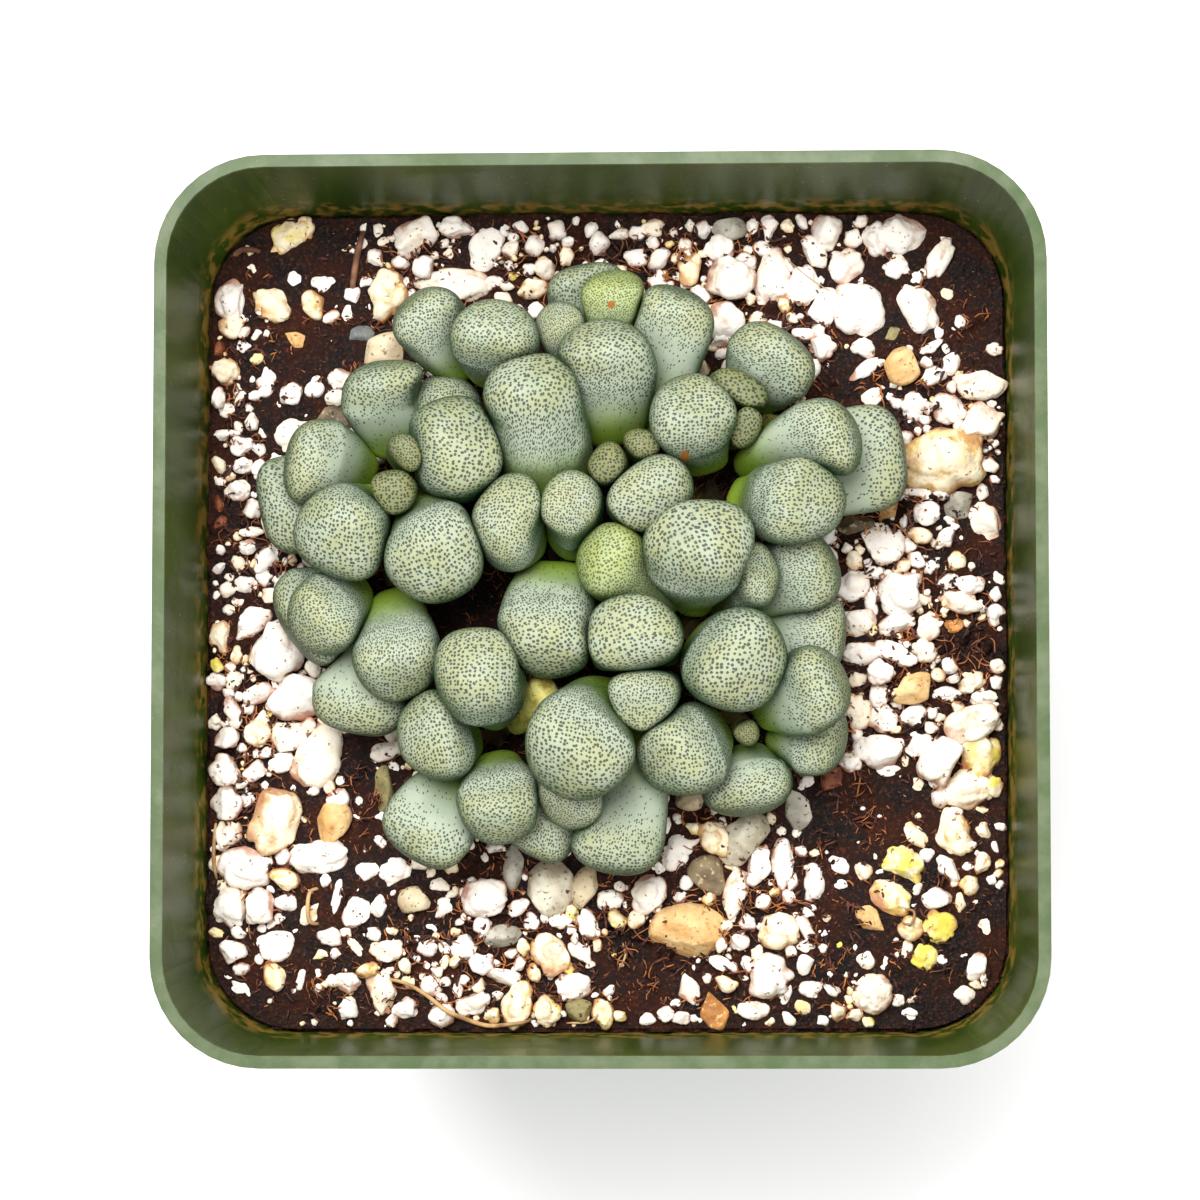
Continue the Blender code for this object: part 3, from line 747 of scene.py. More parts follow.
# Each kind of stone: its pale tone, its dark tone and its flecks.
STONE_COLOURS = {
    "tan": ((240, 206, 150), (214, 164, 100), (180, 106, 50)),
    "beige": ((226, 208, 174), (184, 162, 126), (110, 92, 70)),
    "amber": ((214, 150, 78), (150, 92, 40), (236, 196, 130)),
    "olive": ((168, 156, 104), (112, 102, 60), (66, 60, 36)),
    "slate": ((112, 114, 112), (54, 58, 60), (150, 138, 118)),
    "grey": ((196, 190, 174), (132, 126, 110), (80, 72, 58)),
    "granite": ((222, 214, 192), (156, 142, 116), (60, 52, 44)),
    "brown": ((150, 130, 98), (84, 68, 48), (208, 190, 154)),
    "bark": ((150, 78, 40), (84, 38, 18), (196, 124, 70)),
}
STONES = {
    kind: stone_material(kind + "_stone", *(colour(*tone) for tone in tones))
    for kind, tones in STONE_COLOURS.items()
}
PERLITE = perlite_material()

# Stones on the mix: kind, x and y from the pot's centre, length, width, height and turn.
PLACED_STONES = (
    ("tan", -19.9, -14.6, 3.3, 2.8, 2.4, 55),
    ("olive", -16, -12.6, 4.4, 1.9, 1.8, 92),
    ("beige", -13.9, -20.4, 2.4, 2.2, 1.8, 0),
    ("grey", -6.6, -17.9, 3.8, 1.7, 1.8, 85),
    ("granite", -4.1, -19.4, 4.6, 4.2, 2.8, 60),
    ("beige", -1.5, -19.5, 3.2, 2.1, 2, 80),
    ("olive", -2, -28.3, 2.3, 1.8, 1.4, 0),
    ("grey", -7.6, -23, 3, 1.9, 1.5, 10),
    ("amber", 7.7, -28.2, 3.2, 2.2, 2, 115),
    ("tan", 19.1, -21.7, 3, 1.8, 1.8, -50),
    ("granite", 10, -16, 4.6, 3.6, 2.6, 60),
    ("brown", 7.5, -18.5, 3.6, 2.8, 2.4, -40),
    ("grey", 14, -13.7, 4, 2.9, 2.4, 80),
    ("beige", 6.2, -13, 2.6, 1.9, 2, 0),
    ("grey", 9, 28.6, 2.7, 1.8, 1.4, 0),
    ("tan", -22.7, 20.5, 3, 1.8, 1.6, -25),
    ("slate", -18, 20.9, 3.4, 1.9, 1.8, 15),
    ("beige", -16.3, 19.6, 4.8, 3, 2.4, 25),
    ("brown", -19.7, 14.8, 2.8, 2.2, 2, 0),
    ("olive", 20.9, 20.6, 3.3, 2, 1.8, -5),
    ("tan", 21.6, 18.5, 3.1, 2.9, 2.4, 60),
    ("grey", 25.7, 8.3, 2.8, 2.2, 1.8, 20),
    ("tan", 20.4, 8, 2.2, 2, 1.6, 60),
    ("brown", 18, 6.8, 3, 1.6, 1.6, 10),
    ("amber", 25.1, -0.5, 2, 1.2, 1.2, 0),
    ("tan", 22.2, -5.1, 3.6, 2.3, 2, 15),
    ("tan", -23.9, 27.6, 2.2, 1.9, 1.8, 20),
    ("bark", 16.3, -11.5, 2.4, 1.6, 1.2, 80),
    ("bark", -28.4, 20, 1.8, 0.9, 0.9, 70),
    ("bark", -28.5, 8.6, 1.7, 0.9, 0.9, 100),
    ("bark", -28.2, 7.2, 1.4, 0.8, 0.8, 60),
)

# Perlite grains: x, y, length, width, turn and, for all but white ones, tint up to 2 (algae yellow).
PLACED_PERLITE = (
    # front left
    (-27.6, -13.3, 2.4, 2, 90, 0.2), (-27.5, -15.7, 2.4, 1.8, 90, 0.4), (-27.6, -10.9, 2.4, 2.2, 80),
    (-24, -14.4, 4.6, 3.6, 70, 0.6), (-26.2, -18, 3.6, 2.6, 0, 0.1), (-27.2, -20.9, 3.2, 2.5, 90),
    (-25.1, -20.8, 2.5, 2.1, 90, 0.1), (-24, -23.5, 2.8, 2.3, 20), (-20.8, -17.1, 4.2, 2.6, 10),
    (-22, -11.3, 2, 1.6, 0), (-25.5, -10.9, 1.8, 1.7, 0), (-23.6, -10.3, 2, 1.4, 10),
    (-15.8, -9.4, 2.6, 1.4, 20, 0.3), (-17.8, -9.8, 1.6, 1.3, 0, 0.1), (-19.4, -13, 1.6, 1.4, 0),
    (-17.2, -18.2, 2.4, 2.2, 0, 0.1), (-15.2, -18.3, 2.6, 2.4, 80), (-12, -19.2, 1.8, 1.2, 0),
    (-8.8, -20.2, 3.4, 2.8, 0), (-11.7, -20.9, 2.2, 1.5, 0), (-19.5, -20, 2.4, 1, 80, 0.1),
    (-18.1, -21.2, 2.2, 1.6, 70, 0.1), (-16.6, -20.9, 1.7, 1.3, 80, 0.1), (-19.9, -22.9, 1.9, 1.4, 0),
    (-18.2, -23.6, 2.2, 1.4, -50, 0.6), (-15.8, -24, 2.2, 1.6, 0, 0.4), (-22.1, -26, 1.7, 1.3, 80),
    (-18.7, -26.3, 1.7, 1.4, 0, 0.1), (-16.2, -27, 3.4, 1.8, -70, 0.5), (-14.6, -28.1, 1.9, 1.6, 0),
    (-26.5, -26.7, 1.8, 1.2, -50), (-9.6, -27.7, 2.2, 1.7, 20, 0.1), (-10.1, -23.7, 2.1, 1.7, 0),
    (-6.4, -27.9, 3.4, 2, 80, 0.7), (-4.3, -28.3, 2.2, 1.8, 90, 0.9), (-4.1, -24.2, 3, 2.2, -60, 0.6),
    (-2.4, -26.6, 2.6, 2, 20), (-1.8, -24.1, 2.2, 1.4, -60), (-1.2, -22.3, 2.2, 1.4, -70),
    (-3.3, -21.8, 1.5, 1.1, 0), (-6.4, -20.9, 1.6, 1.1, 30, 0.1), (-8, -16.6, 1.6, 1.1, 0),
    (0.3, -20.4, 1.9, 1.5, 0, 0.1), (-7.5, -25.7, 2.6, 1.3, -20, 0.2),
    # left
    (-25.9, 6.5, 1.6, 0.9, 0), (-26.1, 5.4, 1.3, 1, 0), (-24.5, 4.6, 2.9, 1.8, 50),
    (-26.3, 2.8, 1.8, 1.6, 0), (-24.9, 3.2, 1.3, 1.2, 0), (-23.4, 3, 1.7, 1.4, 0, 0.1),
    (-24.4, 1.8, 1.8, 1, 0, 0.3), (-25.7, 0.2, 2.6, 1.8, 45, 0.1), (-26.9, 0.3, 1.1, 0.9, 0),
    (-26.2, -0.9, 1.6, 0.9, 25, 0.1), (-28.1, -1.2, 2.5, 1.5, 85, 0.6), (-24.1, -2.3, 4.2, 3.8, 80, 0.1),
    (-28.3, -4.3, 1.5, 1.3, 0), (-27.1, -4.3, 1.4, 1.2, 90, 0.5), (-25.2, -5.3, 2.3, 1.4, 30),
    (-22.3, -5.7, 4.2, 3.2, 10, 0.1), (-28.4, -7.3, 1.3, 1.2, 0), (-25.3, -7.9, 2.5, 1.9, 75, 0.6),
    (-23.1, -8.4, 2.9, 2.4, 0, 0.4), (-20.9, -9.9, 4.4, 3.4, 65, 0.4),
    # back left
    (-28.5, 24.5, 3.3, 2.3, 80, 0.1), (-24.6, 23.3, 3.6, 2.4, -45, 0.7), (-24.1, 29, 2.8, 2.4, 80, 1),
    (-22.4, 29.2, 1.8, 1.4, 90, 0.9), (-20.8, 29.3, 2, 1.2, 0), (-22.9, 24.9, 2, 1.9, 0),
    (-20.6, 24.8, 2.2, 1.9, 0, 0.1), (-16, 23.9, 3.5, 2.6, 80, 0.7), (-17.4, 22.9, 1.4, 0.9, 80),
    (-14, 28, 3.2, 2.6, 20), (-11.1, 28.8, 2.4, 1.5, 0), (-8.8, 27.3, 3.2, 2.4, 70, 0.2),
    (-11.2, 24.5, 5.5, 2.4, -3, 0.4), (-26.6, 20.2, 1.3, 1.1, 0), (-24.7, 19.8, 1.7, 1, 0),
    (-27.9, 18.3, 2.2, 1.7, -20, 0.6), (-24.8, 17.5, 2.1, 1.4, 80, 0.1), (-22.9, 16.6, 1.9, 1.5, 0),
    (-19.4, 17.8, 1.5, 1.5, 0, 0.1), (-19.6, 16.3, 1.9, 1.2, 0, 0.3), (-28.4, 16.3, 1.4, 1.1, 80),
    (-27.8, 15.5, 1.7, 1.3, 0), (-22.8, 13.6, 3.6, 2.4, 20, 0.4), (-25, 13.5, 2.4, 1.2, -55, 0.3),
    (-27.7, 13.7, 1.8, 1, 0), (-26.7, 12.8, 1.7, 1.4, 0), (-25.4, 12.6, 1.3, 1.1, 0, 0.2),
    (-26.5, 11.3, 1.4, 1.2, 0), (-25.3, 11.1, 1.5, 1.3, 0), (-28.2, 10.3, 1, 0.9, 0, 0.2),
    (-26.8, 9.6, 2, 1.5, 20),
    # back right
    (3.5, 28.7, 2, 1.3, 15, 0.5), (4.9, 28.3, 2.2, 0.8, 35), (8.2, 27.2, 2.4, 2.2, 0),
    (11.9, 28.6, 1.7, 1.5, 90), (13.3, 28.7, 1.1, 0.9, 0, 0.6), (16.2, 28.3, 2.4, 2.4, 0, 0.2),
    (15.2, 26.8, 2.4, 2, -20, 0.2), (21.8, 28.7, 4, 3, 0), (19.7, 27.7, 2.4, 2.2, 80),
    (22.1, 27, 1.6, 1.2, 0, 0.1), (17.5, 25.7, 2.6, 2.4, 40), (21.1, 25.8, 2.1, 1.7, 0, 0.1),
    (24.3, 26.3, 2.9, 1.5, 60), (26.1, 27.2, 2.2, 0.9, 0), (6.2, 25.7, 2.2, 1.6, 70, 0.7),
    (3.8, 24.9, 1.6, 1.4, 90), (6.8, 23.6, 1.6, 1.3, -40), (9, 24.8, 3.5, 3.2, 0, 0.3),
    (10.2, 26.1, 1.5, 1.3, 0), (12, 24.6, 4.4, 2.4, 88, 0.3), (14.3, 24.3, 2.9, 2.2, 75, 0.1),
    (15.9, 22.6, 3, 2.7, 60), (18.3, 22.6, 4, 3.6, 60, 0.1), (20.8, 22.8, 1.6, 1, 90, 0.5),
    (22.6, 22.6, 4.2, 3, -70), (8.8, 21.7, 2.6, 2.5, 0, 0.2), (8.5, 20.5, 1.8, 1.4, 0, 0.1),
    (11.1, 21.8, 1.3, 1.2, 0, 0.5), (12.5, 21.4, 1.8, 0.9, 0), (14.5, 20.8, 1.8, 0.9, -10),
    (15.7, 19.8, 1.8, 1.8, 0), (17.4, 19.1, 2.4, 1.4, -70, 0.6), (18.8, 19.7, 1.6, 1.6, 0),
    (18.9, 18.2, 2.3, 0.9, 35), (23.6, 19.8, 1.7, 0.8, 30, 0.2), (23.7, 17.5, 2.2, 1.6, 20),
    (27.3, 17.1, 3.7, 2.2, -10, 0.4), (28.3, 23.7, 2.2, 1.1, -65), (22.6, 15.5, 2.1, 1.9, 0),
    (25, 15.2, 2.5, 1.9, -15), (27.3, 14.2, 3.6, 2.4, 50, 0.3), (24.4, 11.6, 6, 4.2, 0, 0.8),
    # right
    (23, 9.1, 2.6, 1.2, 0, 0.1), (28, 7.2, 3.5, 2.3, -75, 0.4), (23.3, 7.6, 1.9, 1.6, 0),
    (20, 5.4, 3.4, 2.8, 0, 0.2), (21.9, 5.3, 1.2, 1.1, 0, 0.1), (24.7, 5.8, 1.8, 1.2, 50),
    (23.6, 3.7, 1.1, 1, 0), (19.5, 3.2, 1.5, 1.2, 30, 0.1), (17.8, 2.4, 2.6, 2.4, 0),
    (19.3, 1.2, 1.8, 1, 90), (21.4, 1.9, 3.4, 3, 50), (24.8, 2.6, 1.6, 1.3, 0),
    (26.4, 2.4, 2.1, 1.2, 0), (25.6, 1.1, 2.8, 1.6, -10, 0.4), (18.1, -0.2, 2.6, 1.8, 0, 0.3),
    (21, -0.4, 2.6, 1.6, 0), (18.4, -2.4, 2.6, 2, 0, 0.2), (21, -2.6, 3, 1.8, -20),
    (23, -2.4, 1.7, 1.6, 0, 0.4), (19.9, -3.9, 1.9, 1.8, 0), (19.8, -5.6, 1.8, 1.3, 80, 0.1),
    (24.6, -5.4, 2, 1, 0), (26.4, -4.6, 1.9, 1.6, 0, 0.5), (27.3, -5.8, 1.8, 1.2, 0, 0.3),
    (18.2, -6.9, 2.4, 1.9, 80, 0.5), (20.1, -7.3, 2, 2, 0), (22.2, -7, 2, 1.5, 25),
    (26.6, -7.7, 4, 2.3, 20, 0.4), (19.9, -9.5, 3.8, 2.6, -5), (22.6, -9.2, 1.9, 1.6, 30),
    (24.2, -10.3, 3.4, 3, 60), (27, -9.9, 2.8, 2.8, 0, 1.4), (17.7, -10.3, 1.6, 1.5, 0),
    (26, -12.4, 4, 2.5, 10, 0.5),
    # front right
    (5, -17, 2.6, 2.2, 60), (3.1, -19.9, 2.8, 2.2, 80, 0.1), (3.8, -18, 1, 0.9, 0),
    (11, -17.8, 2.8, 1.8, 60, 0.1), (12.8, -17.6, 3.6, 1.5, 88), (14.9, -19.1, 2.6, 1.7, 90, 0.2),
    (9.4, -19.9, 3.6, 1.6, 75, 0.4), (7.9, -15.9, 2.6, 1.9, -60, 0.7), (12.5, -22.5, 2.8, 2.4, 0, 0.6),
    (9.6, -23.3, 1.6, 1.4, 0), (10.1, -22, 1.4, 1.2, 0, 0.1), (14.3, -22.4, 2.8, 1.2, -60),
    (15.8, -22.6, 1.4, 1, 0), (14.4, -23.6, 1.8, 1, 0), (11.7, -25.8, 3, 2.8, 0, 0.1),
    (8.2, -24.9, 1.8, 1.1, -20, 0.1), (10.6, -28.2, 2.4, 1.5, 0, 0.3), (12.9, -27, 1.6, 1, 80),
    (14.9, -26.8, 1.7, 1.2, 0), (19.3, -27, 2.9, 2.6, 60, 0.4), (23.5, -27.4, 2.6, 1.6, 0, 0.3),
    (21.4, -17.9, 3, 2.9, 0, 1.3), (20.6, -20.2, 3.2, 2.4, -40, 1), (23.8, -20.3, 2.2, 1.6, 0),
    (22.3, -15.6, 2.4, 1.6, -50, 0.8), (25, -15.6, 3.4, 2.4, -60, 0.7), (24.8, -18, 2.4, 1.6, -60, 0.2),
    (24, -22.3, 2.4, 2, -30, 1.7), (22.9, -24.4, 2, 2, 0, 1.9), (21.7, -23.8, 1.7, 1.2, 80, 0.5),
    (27, -22.1, 2.9, 2, -60, 0.4), (25.8, -24.2, 2, 1.5, 80), (26.7, -25.2, 1.9, 1.4, 80),
    (20.2, -10.9, 2.4, 1.2, 0), (18.3, -19.5, 1, 0.8, 0), (17.6, -24.9, 1.2, 0.9, 0),
    (21.9, -28.5, 1.4, 0.9, 0),
)

# Ellipses: x, y and the two half widths. Nothing is scattered under the plant, and little on
# the patches of bare peat, the first of which surrounds it.
SCATTER_TRIES = 24
UNDER_PLANT = (-1.5, 3.2, 16.5, 15.5)
BARE_PATCHES = (
    (-1.5, 3.2, 17.5, 16.5),
    (18.5, -14, 4, 3.2), (2.5, -25.5, 3.6, 3.2), (26.8, 21.5, 2.2, 4.2), (17, 17.2, 3, 1.3),
    (-22.2, 26.8, 2.6, 1.4), (-22, 21.9, 1.2, 0.9), (27.2, 4.8, 1.6, 2.2), (26.8, -2.2, 2.2, 2),
    (-17.8, -13.5, 1.4, 3.5), (-9, -18, 1.4, 1.5), (-23, -27.8, 4, 1.4), (17, -22.5, 1.8, 2.5),
    (22, -25.8, 2.4, 1.2), (-27.5, 8, 1.5, 2), (-23, 18.3, 2.5, 1), (24.5, -1.9, 1.5, 1),
)


def in_ellipse(x, y, ellipse):
    """True where a place in metres lies in an ellipse given in millimetres."""
    middle_x, middle_y, half_x, half_y = ellipse
    return math.hypot((x / MM - middle_x) / half_x, (y / MM - middle_y) / half_y) < 1


def height_at(x, y):
    return float(mix_height(np.array([x]), np.array([y]))[0])


def settled(x, y, size):
    """A grain's place, from millimetres, drawn in until the grain clears the pot's wall."""
    x, y = x * MM, y * MM
    while not inside_tub(x, y, 0.45 * size * MM - 0.4 * MM):
        x, y = 0.99 * x, 0.99 * y
    return x, y


def scatter(rng, sizes, taken, spacing, bare_share):
    """Places for grains of the given sizes, none over another, few on the bare patches."""
    places = []
    for size in sizes:
        for _ in range(SCATTER_TRIES):
            x, y = rng.uniform(-HALF_X, HALF_X), rng.uniform(-HALF_Y, HALF_Y)
            if not inside_tub(x, y, 0.42 * size):
                continue
            if in_ellipse(x, y, UNDER_PLANT):
                continue
            bare = any(in_ellipse(x, y, patch) for patch in BARE_PATCHES)
            if bare and rng.uniform() > bare_share:
                continue
            apart = np.hypot(taken[:, 0] - x, taken[:, 1] - y)
            if (apart < spacing * (taken[:, 2] + size) / 2).any():
                continue
            taken = np.vstack([taken, (x, y, size)])
            places.append((x, y, size))
            break
    return places, taken


def make_grains():
    rng = np.random.default_rng(SEED + 1)
    pebble_low, pebble_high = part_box("tan_pebble")
    middle = (pebble_low + pebble_high) / 2
    taken = [(middle.x, middle.y, 5.4 * MM)]
    for number, (kind, x, y, length, width, height, turn) in enumerate(PLACED_STONES):
        x, y = settled(x, y, length)
        heap = Heap(f"{kind}_stone_{number}", 4)
        size = np.array([length, width, height]) * MM
        centre = (x, y, height_at(x, y) + 0.12 * height * MM)
        heap.add(rng, centre, size, math.radians(turn), 9, 0.05, 0.0)
        heap.finish("pebble_stone", STONES[kind])
        taken.append((x, y, (length + width) / 2 * MM))
    large, small = Heap("perlite_large", 4), Heap("perlite_small", 4)
    for x, y, length, width, turn, *tint in PLACED_PERLITE:
        x, y = settled(x, y, length)
        size = np.array([1.08 * length, 1.08 * width, 0.9 * width]) * MM
        centre = (x, y, height_at(x, y) + 0.14 * width * MM)
        heap = large if length > 2.3 else small
        heap.add(rng, centre, size, math.radians(turn), 4, 0.24, *(tint or [0]))
        taken.append((x, y, (length + width) / 2 * MM))
    large.finish("pebble_stone", PERLITE)
    small.finish("pebble_stone", PERLITE)

    taken = np.array(taken)
    sorts = (
        ("perlite_middling", 3, 260, (1.2, 2.0), 0.84, 0.03),
        ("perlite_fine", 3, 700, (0.6, 1.2), 0.8, 0.08),
        ("perlite_crumbs", 2, 1000, (0.25, 0.6), 0.6, 0.2),
    )
    for name, level, count, (least, most), spacing, bare_share in sorts:
        heap = Heap(name, level)
        sizes = np.sort(rng.uniform(least, most, count))[::-1] * MM
        places, taken = scatter(rng, sizes, taken, spacing, bare_share)
        for x, y, size in places:
            centre = (x, y, height_at(x, y) + rng.uniform(0.0, 0.3) * size)
            stretch = size * np.array([rng.uniform(0.9, 1.25), rng.uniform(0.75, 1.0), 0.85])
            tint = rng.choice([0.0, 0.35, 0.6, 0.9, 1.3], p=[0.5, 0.2, 0.15, 0.11, 0.04])
            heap.add(rng, centre, stretch, rng.uniform(0, math.tau), 4, 0.24, tint)
        heap.finish("pebble_stone", PERLITE)


def make_pebble():
    """The large tan pebble, in the place of its plain solid."""
    low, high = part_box("tan_pebble")
    rng = np.random.default_rng(SEED + 2)
    heap = Heap("worn_pebble", 5)
    heap.add(rng, (low + high) / 2, high - low, 0.0, 8, 0.045, 0.0)
    piece = heap.finish("pebble_stone", STONES["tan"])
    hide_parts("tan_pebble")


make_grains()
make_pebble()


# ---------------------------------------------------------------- fibres, roots and twigs

def tube_mesh(name, paths, radii, sides):
    """Thin tubes along many paths, each an array of points, gathered into one mesh."""
    points, faces, start = [], [], 0
    turn = np.arange(sides) * math.tau / sides
    for path, radius in zip(paths, radii):
        along = np.gradient(path, axis=0)
        along /= np.linalg.norm(along, axis=1, keepdims=True) + 1e-12
        side = np.cross(along, [0.0, 0.0, 1.0]) + 1e-9
        side /= np.linalg.norm(side, axis=1, keepdims=True)
        up = np.cross(side, along)
        taper = np.sin(np.linspace(0.25, math.pi - 0.25, len(path))) ** 0.4 * radius
        ring = np.cos(turn)[None, :, None] * side[:, None] + np.sin(turn)[None, :, None] * up[:, None]
        points.append((path[:, None] + ring * taper[:, None, None]).reshape(-1, 3))
        index = start + np.arange(len(path) * sides).reshape(len(path), sides)
        after = np.roll(index, -1, axis=1)
        quads = np.stack([index[:-1], after[:-1], after[1:], index[1:]], axis=-1)
        faces.append(quads.reshape(-1, 4))
        start += len(path) * sides
    return mesh_from_faces(name, np.concatenate(points), np.concatenate(faces))


def fibre_material(name, pale, dark):
    material, tree, shader = new_material(name)
    tone = ramp(tree, noise(tree, 380.0, 3.0), 0.35, 0.65)
    tree.links.new(blend(tree, tone, dark, pale), shader.inputs["Base Color"])
    tree.links.new(bump(tree, noise(tree, 5000.0, 2.0), 0.5, 0.00008), shader.inputs["Normal"])
    shader.inputs["Roughness"].default_value = 0.7
    return material


def wandering_path(rng, x, y, length, steps):
    """A fibre lying on the mix and bending as it goes."""
    heading = rng.uniform(0, math.tau)
    points = []
    for _ in range(steps):
        points.append((x, y))
        heading += rng.normal(0, 0.35)
        x += math.cos(heading) * length / steps
        y += math.sin(heading) * length / steps
    flat = np.array(points)
    lift = (0.15 + np.abs(rng.normal(0.0, 0.24, steps))) * MM
    height = mix_height(flat[:, 0], flat[:, 1]) + lift
    return np.column_stack([flat, height])


def make_fibres():
    rng = np.random.default_rng(SEED + 3)
    sorts = (
        ("coir_fibres", 3600, (0.6, 2.6), (0.03, 0.065), colour(196, 122, 66), colour(112, 60, 30)),
        ("peat_fibres", 3600, (0.5, 2.0), (0.04, 0.12), colour(100, 54, 38), colour(44, 21, 16)),
    )
    for name, count, lengths, widths, pale, dark in sorts:
        paths, radii = [], []
        while len(paths) < count:
            x, y = rng.uniform(-HALF_X, HALF_X), rng.uniform(-HALF_Y, HALF_Y)
            if inside_tub(x, y, 1.0 * MM):
                path = wandering_path(rng, x, y, rng.uniform(*lengths) * MM, 7)
                if inside_tub(path[:, 0], path[:, 1], 0.0).all():
                    paths.append(path)
                    radii.append(rng.uniform(*widths) * MM)
        mesh = tube_mesh(name, paths, radii, 4)
        add_piece(name, mesh, fibre_material(name, pale, dark))


def smooth_path(points, steps):
    """A smooth curve through a few points, in metres."""
    points = np.array(points, float) * MM
    along = np.linspace(0, len(points) - 1, steps)
    padded = np.vstack([2 * points[0] - points[1], points, 2 * points[-1] - points[-2]])
    result = []
    for value in along:
        k = min(int(value), len(points) - 2)
        t = value - k
        p0, p1, p2, p3 = padded[k : k + 4]
        curve = 2 * p1 + (p2 - p0) * t + (2 * p0 - 5 * p1 + 4 * p2 - p3) * t ** 2
        result.append((curve + (3 * p1 - p0 - 3 * p2 + p3) * t ** 3) / 2)
    return np.array(result)


make_fibres()

ROOT_SAMPLES = 10  # for each point given
ROOT_SIDES = 8
ROOT_CLEARANCE = 1.2  # mm, the width for which a root is kept clear of the wall
ROOT_BRIDGES = 0.5  # mm of dip on either side that a root spans without sagging
ROOT_END_SLOPE = 0.45  # lower makes a root's ends dive more steeply


def ground_trees():
    """Search trees of everything that a root can lie on."""
    depsgraph = bpy.context.evaluated_depsgraph_get()
    words = ("perlite", "_stone_", "mix_surface", "worn_pebble")
    found = [obj for obj in bpy.data.objects if obj.type == "MESH"]
    found = [obj for obj in found if any(word in obj.name for word in words)]
    return [BVHTree.FromObject(obj, depsgraph) for obj in sorted(found, key=lambda obj: obj.name)]


def top_under(x, y, trees):
    """The height of the highest thing under a spot inside the pot."""
    hits = [tree.ray_cast(Vector((x, y, POT_TOP)), Vector((0, 0, -1)))[0] for tree in trees]
    return max([hit.z for hit in hits if hit] + [height_at(x, y)])


def laid(points, radius, trees):
    """A root's path, from millimetres, over what lies under it, with its ends in the mix."""
    path = smooth_path([(x, y, 0) for x, y in points], ROOT_SAMPLES * len(points))
    for spot in path:
        spot[:2] = settled(spot[0] / MM, spot[1] / MM, ROOT_CLEARANCE)
    step = np.linalg.norm(np.diff(path, axis=0), axis=1).mean()
    reach = max(1, round(ROOT_BRIDGES * MM / step))
    tops = np.array([top_under(x, y, trees) for x, y, _ in path])
    resting = np.array([tops[max(0, k - reach) : k + reach + 1].max() for k in range(len(tops))])
    for _ in range(2 * reach):
        padded = np.concatenate([resting[:1], resting, resting[-1:]])
        resting = (padded[:-2] + 2 * padded[1:-1] + padded[2:]) / 4
    low = np.array([height_at(x, y) for x, y, _ in path]) - radius
    inward = np.sin(np.linspace(0.0, math.pi, len(path)))
    held_up = np.clip(inward / ROOT_END_SLOPE, 0.0, 1.0)
    path[:, 2] = low + (resting + radius - low) * held_up
    return path


# Roots and twigs lying on the mix: x and y along each.
DRY_ROOTS = (
    [(-18.2, -25.8), (-14.9, -26.2), (-13, -27.2), (-11.5, -28.3), (-10.2, -28.9),
     (-9, -29.3), (-8.2, -29.4), (-7, -29.3), (-5.8, -29.1), (-5.2, -28.6)],
    [(-20.6, -19.4), (-21.5, -19.8), (-21.5, -21.8), (-20.5, -22)],
    [(-28.4, -14.5), (-28.5, -16.8), (-28.3, -19)],
    [(-3, -29.2), (-1.2, -29.1), (-0.4, -28.4)],
    [(0.8, -25.5), (1.4, -24.4), (1.2, -23.4)],
    [(21.2, -21), (22.2, -21.2), (22, -22.1), (21.2, -22)],
    [(12.5, 27), (14.6, 25), (17, 23.5)],
)
BARK_TWIGS = (
    [(-17.7, 29), (-18.3, 26.4), (-18.6, 24)],
    [(-28, 26.4), (-26.8, 27.2), (-25.1, 27.2)],
    [(-25.6, 28.5), (-25, 26.6), (-24.1, 24.6)],
)
ROOT_WIDTHS = (0.17, 0.15, 0.14, 0.09, 0.08, 0.1, 0.035)
TWIG_WIDTHS = (0.26, 0.22, 0.16)
root_radii = [width * MM for width in ROOT_WIDTHS]
twig_radii = [width * MM for width in TWIG_WIDTHS]
ground = ground_trees()
dry_roots = [laid(points, radius, ground) for points, radius in zip(DRY_ROOTS, root_radii)]
bark_twigs = [laid(points, radius, ground) for points, radius in zip(BARK_TWIGS, twig_radii)]
add_piece(
    "dry_roots",
    tube_mesh("dry_roots", dry_roots, root_radii, ROOT_SIDES),
    fibre_material("dry_root", colour(200, 164, 112), colour(150, 108, 66)),
)
add_piece(
    "bark_twigs",
    tube_mesh("bark_twigs", bark_twigs, twig_radii, ROOT_SIDES),
    fibre_material("bark_twigs", colour(168, 118, 84), colour(88, 50, 32)),
)
dress("rootstock", fibre_material("root_bark", colour(120, 104, 60), colour(60, 46, 28)))


# ---------------------------------------------------------------- floor, light and camera

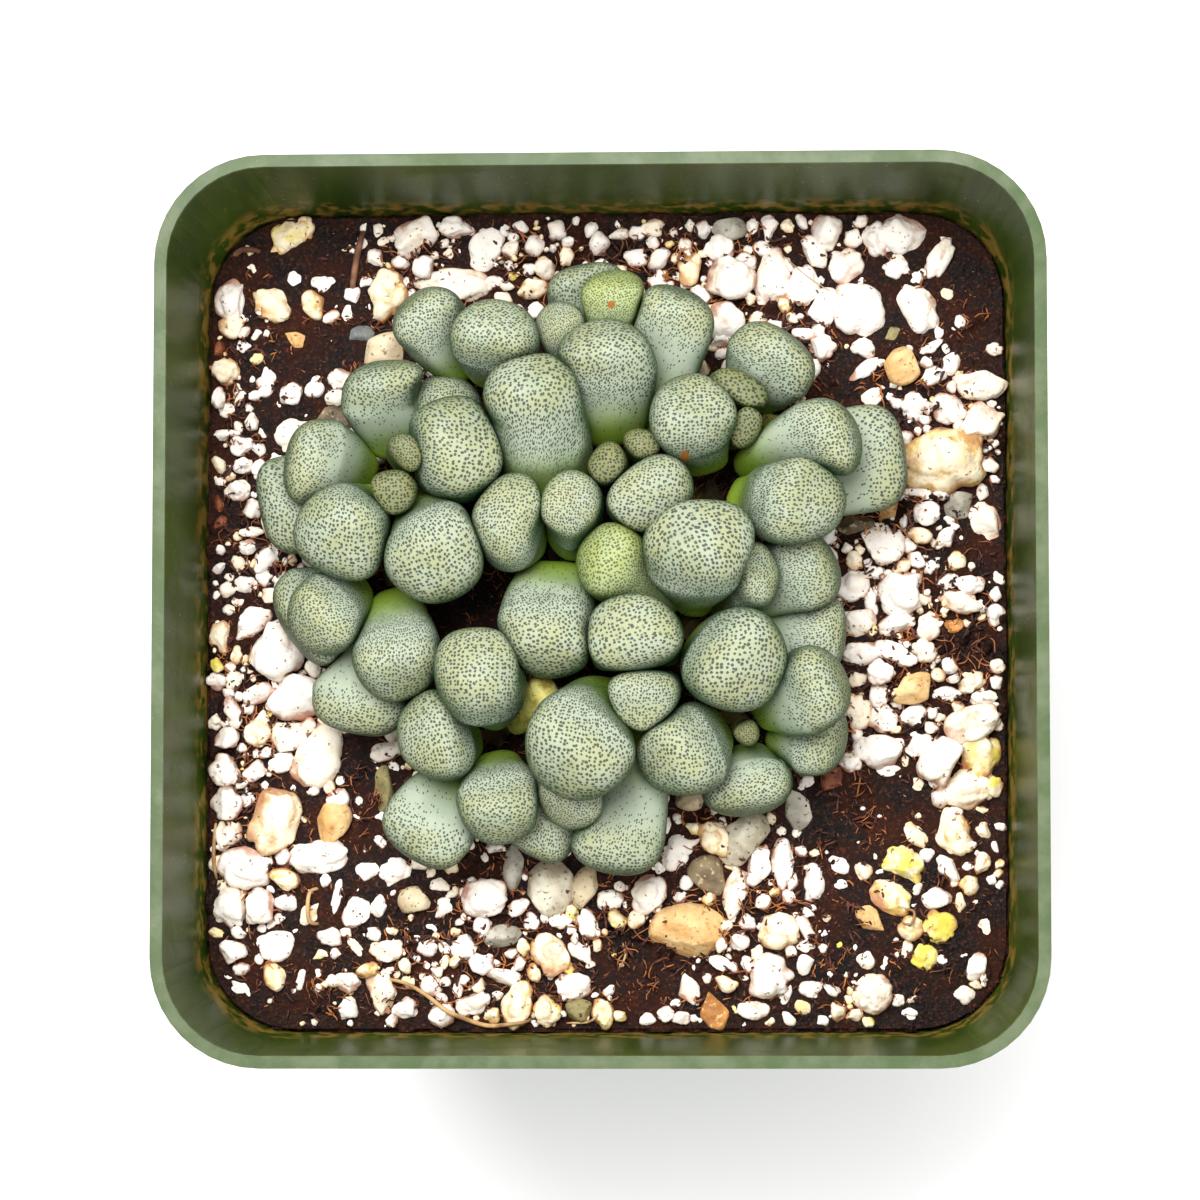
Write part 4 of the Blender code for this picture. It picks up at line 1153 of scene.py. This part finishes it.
def floor_material():
    material, tree, shader = new_material("studio_floor")
    shader.inputs["Base Color"].default_value = (0.95, 0.95, 0.95, 1.0)
    shader.inputs["Roughness"].default_value = 0.9
    return material


def make_floor():
    edit = bmesh.new()
    bmesh.ops.create_grid(edit, x_segments=1, y_segments=1, size=1.5)
    mesh = bpy.data.meshes.new("studio_floor")
    edit.to_mesh(mesh)
    edit.free()
    floor = bpy.data.objects.new("studio_floor", mesh)
    bpy.context.scene.collection.objects.link(floor)
    floor.location.z = -0.0002
    mesh.materials.append(floor_material())


def add_softbox(name, place, target, size, energy):
    light = bpy.data.lights.new(name, "AREA")
    light.size = size
    light.energy = energy
    lamp = bpy.data.objects.new(name, light)
    bpy.context.scene.collection.objects.link(lamp)
    lamp.location = place
    lamp.rotation_euler = (Vector(target) - Vector(place)).to_track_quat("-Z", "Y").to_euler()


def set_world(strength):
    world = bpy.data.worlds.new("studio")
    world.use_nodes = True
    world.node_tree.nodes["Background"].inputs["Color"].default_value = (1.0, 1.0, 1.0, 1.0)
    world.node_tree.nodes["Background"].inputs["Strength"].default_value = strength
    bpy.context.scene.world = world


def set_camera():
    """Looks almost straight down, from a little in front and to the right."""
    target = Vector((0.0001, 0.0005, POT_TOP))
    back = Vector((math.tan(math.radians(2.76)), -math.tan(math.radians(4.8)), 1.0)).normalized()
    right = (-back).cross(Vector((0, 1, 0))).normalized()
    up = right.cross(-back)
    camera_data = bpy.data.cameras.new("camera")
    camera_data.sensor_width = 36.0
    camera_data.lens = 36.0 * 400 * 14.157 / 1200
    camera_data.clip_start = 0.01
    camera = bpy.data.objects.new("camera", camera_data)
    bpy.context.scene.collection.objects.link(camera)
    turn = Matrix((right, up, back)).transposed().to_4x4()
    camera.matrix_world = Matrix.Translation(target + back * 0.4) @ turn
    bpy.context.scene.camera = camera


make_floor()
set_world(0.82)
add_softbox("top_light", (-0.12, 0.25, 0.7), (0, 0, 0.05), 0.5, 7.4)
add_softbox("side_light", (0.5, -0.3, 0.45), (0, 0, 0.05), 0.5, 2.0)
set_camera()
bpy.context.scene.view_settings.view_transform = "Standard"
